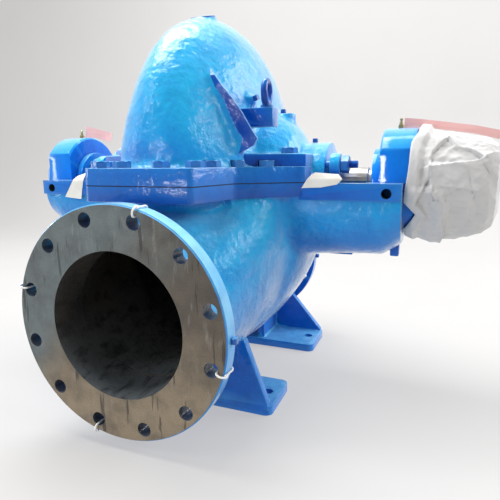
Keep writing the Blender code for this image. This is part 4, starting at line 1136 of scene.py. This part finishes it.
def grease_nipple(side):
    place = Matrix.Translation((side * 0.404, 0, SHAFT_Z + 0.1053))
    base = hex_bolt(0.0098, 0.0062, 0.0006)
    stem = upright_turned(((0.005, 0.0), (0.005, 0.0040), (0.012, 0.0032), (0.0125, 0.0021),
                           (0.0148, 0.0021), (0.0162, 0.0031), (0.0182, 0.0031),
                           (0.0193, 0.0016), (0.0195, 0.0)), 32)
    end_piece("grease_nipple", side, joined([moved(base, place), moved(stem, place)]), BRASS,
              "grease_fitting")


def lifting_eye(side, major=0.0215, minor=0.0062):
    """A forged lifting eye screwed into its lug."""
    place = (Matrix.Translation((side * EYEBOLT[0], side * EYEBOLT[1], BOSS_TOP + 0.0004))
             @ Matrix.Rotation(side * 0.1, 4, 'Z'))
    middle = Vector((0, 0, 0.006 + major))
    bm = bmesh.new()
    rings = []
    for step in range(64):
        around = math.tau * step / 64
        out = Vector((0, math.cos(around), math.sin(around)))
        thick = minor * (1.0 + 0.12 * max(0.0, -math.sin(around)))
        rings.append([bm.verts.new(middle + out * (major + thick * math.cos(a))
                                   + Vector((thick * math.sin(a), 0, 0)))
                      for a in (math.tau * k / 20 for k in range(20))])
    for near, far in zip(rings, rings[1:] + rings[:1]):
        bridge(bm, near, far)
    ring = to_mesh(bm, "eye")
    collar = upright_turned(((0, 0), (0, 0.0125), (0.0035, 0.0125), (0.0055, 0.0105),
                             (0.0085, 0.0075), (0.0095, 0.0)))
    end_piece("lifting_eye", side, joined([moved(ring, place), moved(collar, place)]), BOLT_BLUE,
              "eyebolt")


def square_plug(name, base, outward, stands_for, size=0.0105, height=0.009):
    """A pipe plug's square head."""
    place = along(base, Vector(base) + Vector(outward))
    bm = bmesh.new()
    bmesh.ops.create_cone(bm, cap_ends=True, segments=4, radius1=size / 2 * 1.4142,
                          radius2=size / 2 * 1.33, depth=height - 0.0003)
    bm.transform(place @ Matrix.Translation((0, 0, height / 2 + 0.0002))
                 @ Matrix.Rotation(math.pi / 4, 4, 'Z'))
    piece(name, crisp(to_mesh(bm, "plug"), 0.0008), BOLT_BLUE,
          stands_for=[stands_for])


def plugs():
    up, sideways = (0, 0, 1), (1, 0, 0)
    for side in (-1, 1):
        name = end_name(side)
        square_plug("box_plug_head_" + name, (side * 0.228, 0, SHAFT_Z + BOX_RADIUS), up,
                    "box_plug_" + name)
        square_plug("chamber_plug_head_" + name, (side * 0.155, 0, PLUG_TOP), up,
                    "chamber_plug_" + name)
    square_plug("volute_plug_head", SIDE_PLUG + SIDE_WAY * 0.005, SIDE_WAY, "side_plug")
    square_plug("suction_plug_head", (SUCTION_FLANGE[0], SUCTION_Y + 0.016, NOZZLE_Z), sideways,
                "suction_gauge_plug")
    square_plug("discharge_plug_head", (DISCHARGE_FLANGE[0], DISCHARGE_Y - 0.014, NOZZLE_Z),
                sideways, "discharge_gauge_plug")


# Ties, tags and the foam wrap
TIE_RADIUS = 0.0016
TIE_GAP = 0.0006
TIE_HOLES = (0, 3, 6, 9)


def tie(index):
    """A plastic tie through a flange hole and over the rim, with its head at the rim."""
    rim, thick = SUCTION_FLANGE
    circle, count, hole = SUCTION_HOLES
    angle = math.tau * (index + 0.5) / count
    outward = Vector((math.sin(angle), 0.0, math.cos(angle)))
    across = Vector((math.cos(angle), 0.0, -math.sin(angle)))
    middle = Vector((0.0, 0.0, NOZZLE_Z))
    inner = circle + hole * math.cos(math.pi / 8) - TIE_RADIUS - TIE_GAP
    outer = rim + TIE_RADIUS + TIE_GAP
    halfway = (inner + outer) / 2
    front = SUCTION_Y - TIE_RADIUS - TIE_GAP
    back = SUCTION_Y + thick + TIE_RADIUS + TIE_GAP
    lift = SUCTION_Y - 0.008 + TIE_RADIUS
    stops = [(inner, front + 0.004), (inner, front), (halfway - 0.004, lift + 0.001),
             (halfway + 0.003, lift), (outer, front), (outer, front + 0.008),
             (outer, (front + back) / 2), (outer, back - 0.004), (outer - 0.003, back),
             (halfway, back), (inner + 0.003, back), (inner, back - 0.005),
             (inner, (front + back) / 2)]
    curve = bpy.data.curves.new("tie", 'CURVE')
    curve.dimensions = '3D'
    curve.bevel_depth = TIE_RADIUS
    curve.bevel_resolution = 3
    spline = curve.splines.new('BEZIER')
    spline.bezier_points.add(len(stops) - 1)
    for point, (reach, y) in zip(spline.bezier_points, stops):
        place = middle + outward * reach
        point.co = (place.x, y, place.z)
        point.handle_left_type = 'AUTO'
        point.handle_right_type = 'AUTO'
    spline.use_cyclic_u = True
    spline.resolution_u = 6
    turn = Matrix(((*across, 0), (0, 1, 0, 0), (*outward, 0), (0, 0, 0, 1))).transposed()
    seat = middle + outward * (rim + 0.0026) + Vector((0, SUCTION_Y + 0.002, 0))
    block = crisp(box((-0.0027, -0.0026, -0.0018), (0.0027, 0.0026, 0.0024)), 0.0006)
    head = moved(block, Matrix.Translation(seat) @ turn)
    name = "tie_{:02d}".format(index)
    piece("flange_" + name, joined([evaluated(curve), head]), NYLON,
          stands_for=[name])


def along_row(row, share):
    """The point at a share of the length of a row of points."""
    lengths = [float(np.linalg.norm(b - a)) for a, b in zip(row, row[1:])]
    reach = share * sum(lengths)
    for a, b, length in zip(row, row[1:], lengths):
        if reach <= length or b is row[-1]:
            return a + (b - a) * min(1.0, reach / length)
        reach -= length


def tag(name, rows, look, stands_for, curl=0.0015, seed=1.0):
    """A blank paper label through rows of points, a little curled."""
    count_u, count_v = 36, 16
    lines = [[np.array(point, float) for point in row] for row in rows]
    bm = bmesh.new()
    grid = []
    for v in range(count_v + 1):
        t = v / count_v * (len(lines) - 1)
        index = min(int(t), len(lines) - 2)
        free = 0.25 + 0.75 * min(1.0, 2.2 * v / count_v)
        line = []
        for u in range(count_u + 1):
            first = along_row(lines[index], u / count_u)
            second = along_row(lines[index + 1], u / count_u)
            point = Vector(first + (second - first) * (t - index))
            wave = noise.noise(point * 28.0 + Vector((seed, seed, seed)))
            line.append(bm.verts.new(point - Vector((0, 1, 0)) * curl * free * (0.6 + wave)))
        grid.append(line)
    for near, far in zip(grid, grid[1:]):
        for u in range(count_u):
            bm.faces.new((near[u], near[u + 1], far[u + 1], far[u]))
    sheet = evaluated(plain_mesh(bm, name), [('SOLIDIFY', {"thickness": 0.0005, "offset": 1.0})])
    piece(name, sheet, look, stands_for=[stands_for], angle=60)


def tags():
    rail_front = -0.1326
    tag("cream_label_drive", (
        ((0.2343, rail_front, 0.4395), (0.2727, rail_front, 0.4414)),
        ((0.2392, rail_front, 0.4474), (0.3029, rail_front, 0.4472)),
        ((0.2454, rail_front, 0.4570), (0.3129, rail_front, 0.4572)),
        ((0.2530, -0.1300, 0.4651), (0.3066, -0.1290, 0.4640)),
        ((0.2597, -0.1280, 0.4693), (0.3041, -0.1270, 0.4659))), CREAM,
        "cream_tag_drive", seed=2.0)
    tag("cream_label_outboard", (
        ((-0.352, rail_front, 0.410), (-0.304, rail_front, 0.406)),
        ((-0.324, rail_front, 0.4505), (-0.294, rail_front, 0.4505)),
        ((-0.316, -0.126, 0.459), (-0.292, -0.122, 0.467))), CREAM,
        "cream_tag_outboard", seed=5.0)
    perch = SHAFT_Z + 0.105 + 0.0003
    top = perch + 0.0003
    tag("pink_label_drive", (
        ((0.410, 0.002, top), (0.4475, 0.002, top), (0.540, 0.002, top - 0.0145),
         (0.583, 0.002, top - 0.0260)),
        ((0.410, 0.006, perch + 0.020), (0.444, 0.008, top + 0.016), (0.540, 0.006, top + 0.001),
         (0.587, 0.004, top - 0.0100))), PINK, "pink_tag_drive", seed=9.0)
    tag("pink_label_outboard", (
        ((-0.395, 0.002, perch), (-0.366, 0.001, perch), (-0.310, -0.004, perch - 0.012)),
        ((-0.392, 0.008, perch + 0.030), (-0.364, 0.006, perch + 0.023),
         (-0.308, 0.004, perch + 0.010))), PINK, "pink_tag_outboard", seed=12.0)


# The foam's outline as (way along, radius), and how far it sags below the shaft
WRAP_PROFILE = ((0.0, 0.1106), (0.003, 0.1122), (0.018, 0.1116), (0.026, 0.1040), (0.050, 0.0995),
                (0.085, 0.0965), (0.118, 0.0915), (0.145, 0.0850), (0.160, 0.0760), (0.168, 0.0550),
                (0.170, 0.0280), (0.170, 0.0))
WRAP_SAG = 0.20
# Where the foam starts along the shaft, by the angle up from the front
WRAP_LIP = ((-180, 0.4225), (-80, 0.4225), (-55, 0.4235), (-42, 0.4340), (-32, 0.4430), (-25, 0.4320),
            (-19, 0.4225), (14, 0.4265), (42, 0.4300), (57, 0.4390), (90, 0.4470), (130, 0.4390),
            (150, 0.4265), (180, 0.4225))
# Folds as (height, softness, fade, line of (x, angle up from the front)), raised left of the line
WRAP_FOLDS = (
    (0.0065, 0.0030, 0.022, ((0.436, -24), (0.447, -14), (0.454, -5), (0.463, 8), (0.463, 17),
                             (0.465, 33), (0.477, 45), (0.488, 53))),
    (0.0125, 0.0016, 0.070, ((0.575, 42), (0.565, 36), (0.547, 27), (0.524, 23), (0.498, 21),
                             (0.464, 17), (0.465, 8), (0.467, -5), (0.474, -14))),
    (0.0080, 0.0016, 0.050, ((0.492, -80), (0.495, -58), (0.491, -18), (0.471, -18), (0.470, -8),
                             (0.458, -9))),
    (0.0060, 0.0040, 0.022, ((0.488, 60), (0.510, 43), (0.534, 40), (0.552, 32))),
    (0.0026, 0.0022, 0.018, ((0.489, -3), (0.522, -5), (0.552, -9), (0.564, -4))),
    (0.0026, 0.0030, 0.018, ((0.531, -42), (0.532, -18), (0.545, -8))),
    (0.0040, 0.0040, 0.025, ((0.450, 100), (0.500, 112), (0.560, 105))),
    (0.0045, 0.0030, 0.030, ((0.446, 150), (0.480, 165), (0.530, 160), (0.575, 175))),
    (0.0045, 0.0030, 0.030, ((0.560, -130), (0.500, -150), (0.450, -135))),
    (0.0040, 0.0030, 0.030, ((0.455, -100), (0.510, -92), (0.565, -105))),
)
WRAP_ARC = 0.106
WRAP_LENGTH = 0.170
WRAP_END = 0.592
WRAP_TIP = 0.589
# Where the foam lies on the housing, the least radius it has there, and the most anywhere
HOUSING_END = 0.4430
HOUSING_CLEAR = 0.1106
WRAP_LIMIT = 0.1160


def wrap_lip(angle):
    places, starts = zip(*WRAP_LIP)
    return float(np.interp(angle, places, starts)) + 0.0008 * math.sin(math.radians(angle * 7))


def fold_height(x, angle):
    """The steps of the foam's folds at one place."""
    height = 0.0
    for step, soft, fade, line in WRAP_FOLDS:
        best = 0.0
        for (x0, a0), (x1, a1) in zip(line, line[1:]):
            across, up = x1 - x0, math.radians(a1 - a0) * WRAP_ARC
            length = math.hypot(across, up)
            turn = (angle - a0 + 180) % 360 - 180
            way, height_up = x - x0, math.radians(turn) * WRAP_ARC
            reach = (way * across + height_up * up) / length
            off = (across * height_up - up * way) / length
            beyond = max(0.0, -reach, reach - length)
            if off > -soft and beyond < 0.012:
                rise = min(1.0, (off + soft) / soft)
                best = max(best, rise * math.exp(-max(0.0, off) / fade) * (1 - beyond / 0.012))
        height += step * best
    return height


def foam_point(angle, way, radius):
    """One point of the foam, by the angle up from the front and the profile's way and radius."""
    start = wrap_lip(angle)
    height = math.radians(angle)
    x = start + way * (WRAP_END - 0.002 - start) / WRAP_LENGTH
    spot = Vector((x, -math.cos(height), math.sin(height)))
    seat = Vector((x * 9.0, spot.y * 1.1, spot.z * 1.1))
    crease = 1.0 - abs(noise.noise(seat * 2.1 + Vector((4.1, 2.2, 7.3)))) * 2.0
    small = 1.0 - abs(noise.noise(seat * 5.3 + Vector((1.1, 5.2, 3.3)))) * 2.0
    rough = noise.noise(seat * 14.0)
    free = min(1.0, way / 0.03)
    off = -0.0065 * free + free * (0.0030 * crease + 0.0016 * small) + 0.0005 * rough
    off += fold_height(x, angle) * free
    if way > 0.14:
        off *= max(0.2, radius / 0.092)
    low = max(0.0, -spot.z) * min(1.0, way / 0.05)
    size = max(0.0, min(radius + off, WRAP_LIMIT)) * (1.0 + WRAP_SAG * low)
    if x < HOUSING_END:
        size = max(size, HOUSING_CLEAR)
    pulled = 0.004 * abs(crease) * max(0.0, way - 0.13) / 0.04
    return x - pulled, size * spot.y, SHAFT_Z + size * spot.z


def foam_wrap():
    """Crumpled foam round the drive end's bearing and the shaft behind it."""
    around = 320
    rings = 140
    ways, radii = zip(*WRAP_PROFILE)
    lengths = [0.0]
    for (w0, r0), (w1, r1) in zip(WRAP_PROFILE, WRAP_PROFILE[1:]):
        lengths.append(lengths[-1] + math.hypot(w1 - w0, r1 - r0))
    bm = bmesh.new()
    loops = []
    for share in np.linspace(0.0, 1.0, rings)[:-1]:
        reach = share * lengths[-1]
        way = float(np.interp(reach, lengths, ways))
        radius = float(np.interp(reach, lengths, radii))
        loops.append([bm.verts.new(foam_point(360.0 * k / around - 180.0, way, radius))
                      for k in range(around)])
    tip = bm.verts.new((WRAP_TIP, 0.0, SHAFT_Z))
    for near, far in zip(loops, loops[1:]):
        bridge(bm, near, far)
    for k in range(around):
        bm.faces.new((loops[-1][k], loops[-1][(k + 1) % around], tip))
    bmesh.ops.recalc_face_normals(bm, faces=bm.faces)
    if sum((f.calc_center_median() - Vector((0.5, 0, SHAFT_Z))).dot(f.normal) for f in bm.faces) < 0:
        bmesh.ops.reverse_faces(bm, faces=bm.faces)
    sheet = evaluated(plain_mesh(bm, "foam"), [
        ('SMOOTH', {"factor": 0.4, "iterations": 1}),
        ('SOLIDIFY', {"thickness": 0.0042, "offset": -1.0})])
    made = piece("foam_wrap", sheet, FOAM, stands_for=["drive_wrap"], angle=80)


def small_pieces():
    casing_bolts()
    for side in (-1, 1):
        bearing_housing(side)
        covers(side)
        gland(side)
        grease_nipple(side)
        lifting_eye(side)
    plugs()
    for index in TIE_HOLES:
        tie(index)
    tags()
    foam_wrap()


lower_casing()
upper_casing()
small_pieces()


# Looks of the CAD nodes that stay as they are
CAD_LOOKS = {"gasket": GASKET, "shaft": STEEL, "impeller": BRONZE}
for name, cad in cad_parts.items():
    for start, look in CAD_LOOKS.items():
        if name.startswith(start):
            for place in cad.material_slots:
                place.material = look


# Stage, light and camera
def stage_look():
    """A pale studio floor that glows a little, so that its shadows stay faint."""
    made, tree, shader, coords = start_look("pale_floor", 0.75, specular=0.1)
    cloud = mask(tree, coords, 3.0, 0.3, 0.8)
    color = blend(tree, cloud, (0.260, 0.257, 0.253), (0.247, 0.244, 0.240))
    link(tree, color, shader.inputs["Base Color"])
    shader.inputs["Emission Color"].default_value = (1.0, 0.990, 0.980, 1.0)
    shader.inputs["Emission Strength"].default_value = 0.42
    return made


def add_stage(front=-4.0, bend=1.6, curve=0.8, top=4.5, floor=-0.0004, half_width=6.0):
    """A floor that curves up into a wall behind the pump."""
    profile = [(front, floor), (bend, floor)]
    for step in range(9):
        angle = math.pi / 2 * step / 8
        profile.append((bend + curve * math.sin(angle), floor + curve * (1 - math.cos(angle))))
    profile.append((bend + curve, top))
    bm = bmesh.new()
    left, right = [[bm.verts.new((x, y, z)) for y, z in profile] for x in (-half_width, half_width)]
    for index in range(len(profile) - 1):
        bm.faces.new((left[index], right[index], right[index + 1], left[index + 1]))
    mesh = plain_mesh(bm, "backdrop")
    mesh.shade_smooth()
    mesh.materials.append(stage_look())
    in_scene("backdrop", mesh)


# Each light's place, the spot it looks at, its width and height, and its power
LIGHTS = {
    "top": ((-0.9, 0.1, 2.75), (0, 0, 0.4), (1.9, 1.6), 112),
    "key": ((-1.5, -1.9, 1.9), (0, 0, 0.4), (0.45, 0.45), 10),
    "front": ((-1.1, -3.1, 0.45), (0, 0, 0.35), (0.3, 0.5), 20),
    "side": ((2.3, -0.5, 1.6), (0, 0, 0.4), (0.5, 0.7), 14),
    "back_right": ((2.3, 1.5, 1.7), (0, 0, 0.5), (1.9, 1.6), 66),
    "window": ((-2.5, -1.2, 0.8), (0, 0, 0.5), (0.25, 0.8), 9),
    "wall": ((-0.3, 0.9, 3.4), (-0.6, 2.4, 1.0), (3.0, 0.8), 45),
}
WORLD_COLOR = (1.0, 0.985, 0.965, 1.0)
WORLD_STRENGTH = 0.33
CAMERA_PLACE = (0.4025, -0.9299, 0.4903)
# How far the camera is turned, looks down and leans, in degrees
CAMERA_ANGLES = (21.60, 10.88, -0.37)
LENS, SENSOR = 33.05, 36.0


def add_light(name, place, target, size, energy):
    lamp = bpy.data.lights.new(name, 'AREA')
    lamp.shape = 'RECTANGLE'
    lamp.size, lamp.size_y = size
    lamp.energy = energy
    made = in_scene(name, lamp)
    made.location = place
    way = Vector(target) - Vector(place)
    made.rotation_euler = way.to_track_quat('-Z', 'Y').to_euler()


def add_world():
    world = bpy.data.worlds.new("studio")
    bpy.context.scene.world = world
    world.use_nodes = True
    background = world.node_tree.nodes["Background"]
    background.inputs["Color"].default_value = WORLD_COLOR
    background.inputs["Strength"].default_value = WORLD_STRENGTH


def add_camera():
    azimuth, elevation, roll = (math.radians(value) for value in CAMERA_ANGLES)
    way = Vector((-math.sin(azimuth) * math.cos(elevation), math.cos(azimuth) * math.cos(elevation),
                  -math.sin(elevation)))
    lens = bpy.data.cameras.new("camera")
    lens.sensor_width = SENSOR
    lens.lens = LENS
    camera = in_scene("camera", lens)
    turn = way.to_track_quat('-Z', 'Y').to_matrix().to_4x4() @ Matrix.Rotation(roll, 4, 'Z')
    camera.matrix_world = Matrix.Translation(CAMERA_PLACE) @ turn
    bpy.context.scene.camera = camera


bpy.context.scene.view_settings.view_transform = 'Standard'
add_stage()
add_world()
for name, (place, target, size, energy) in LIGHTS.items():
    add_light(name, place, target, size, energy)
add_camera()
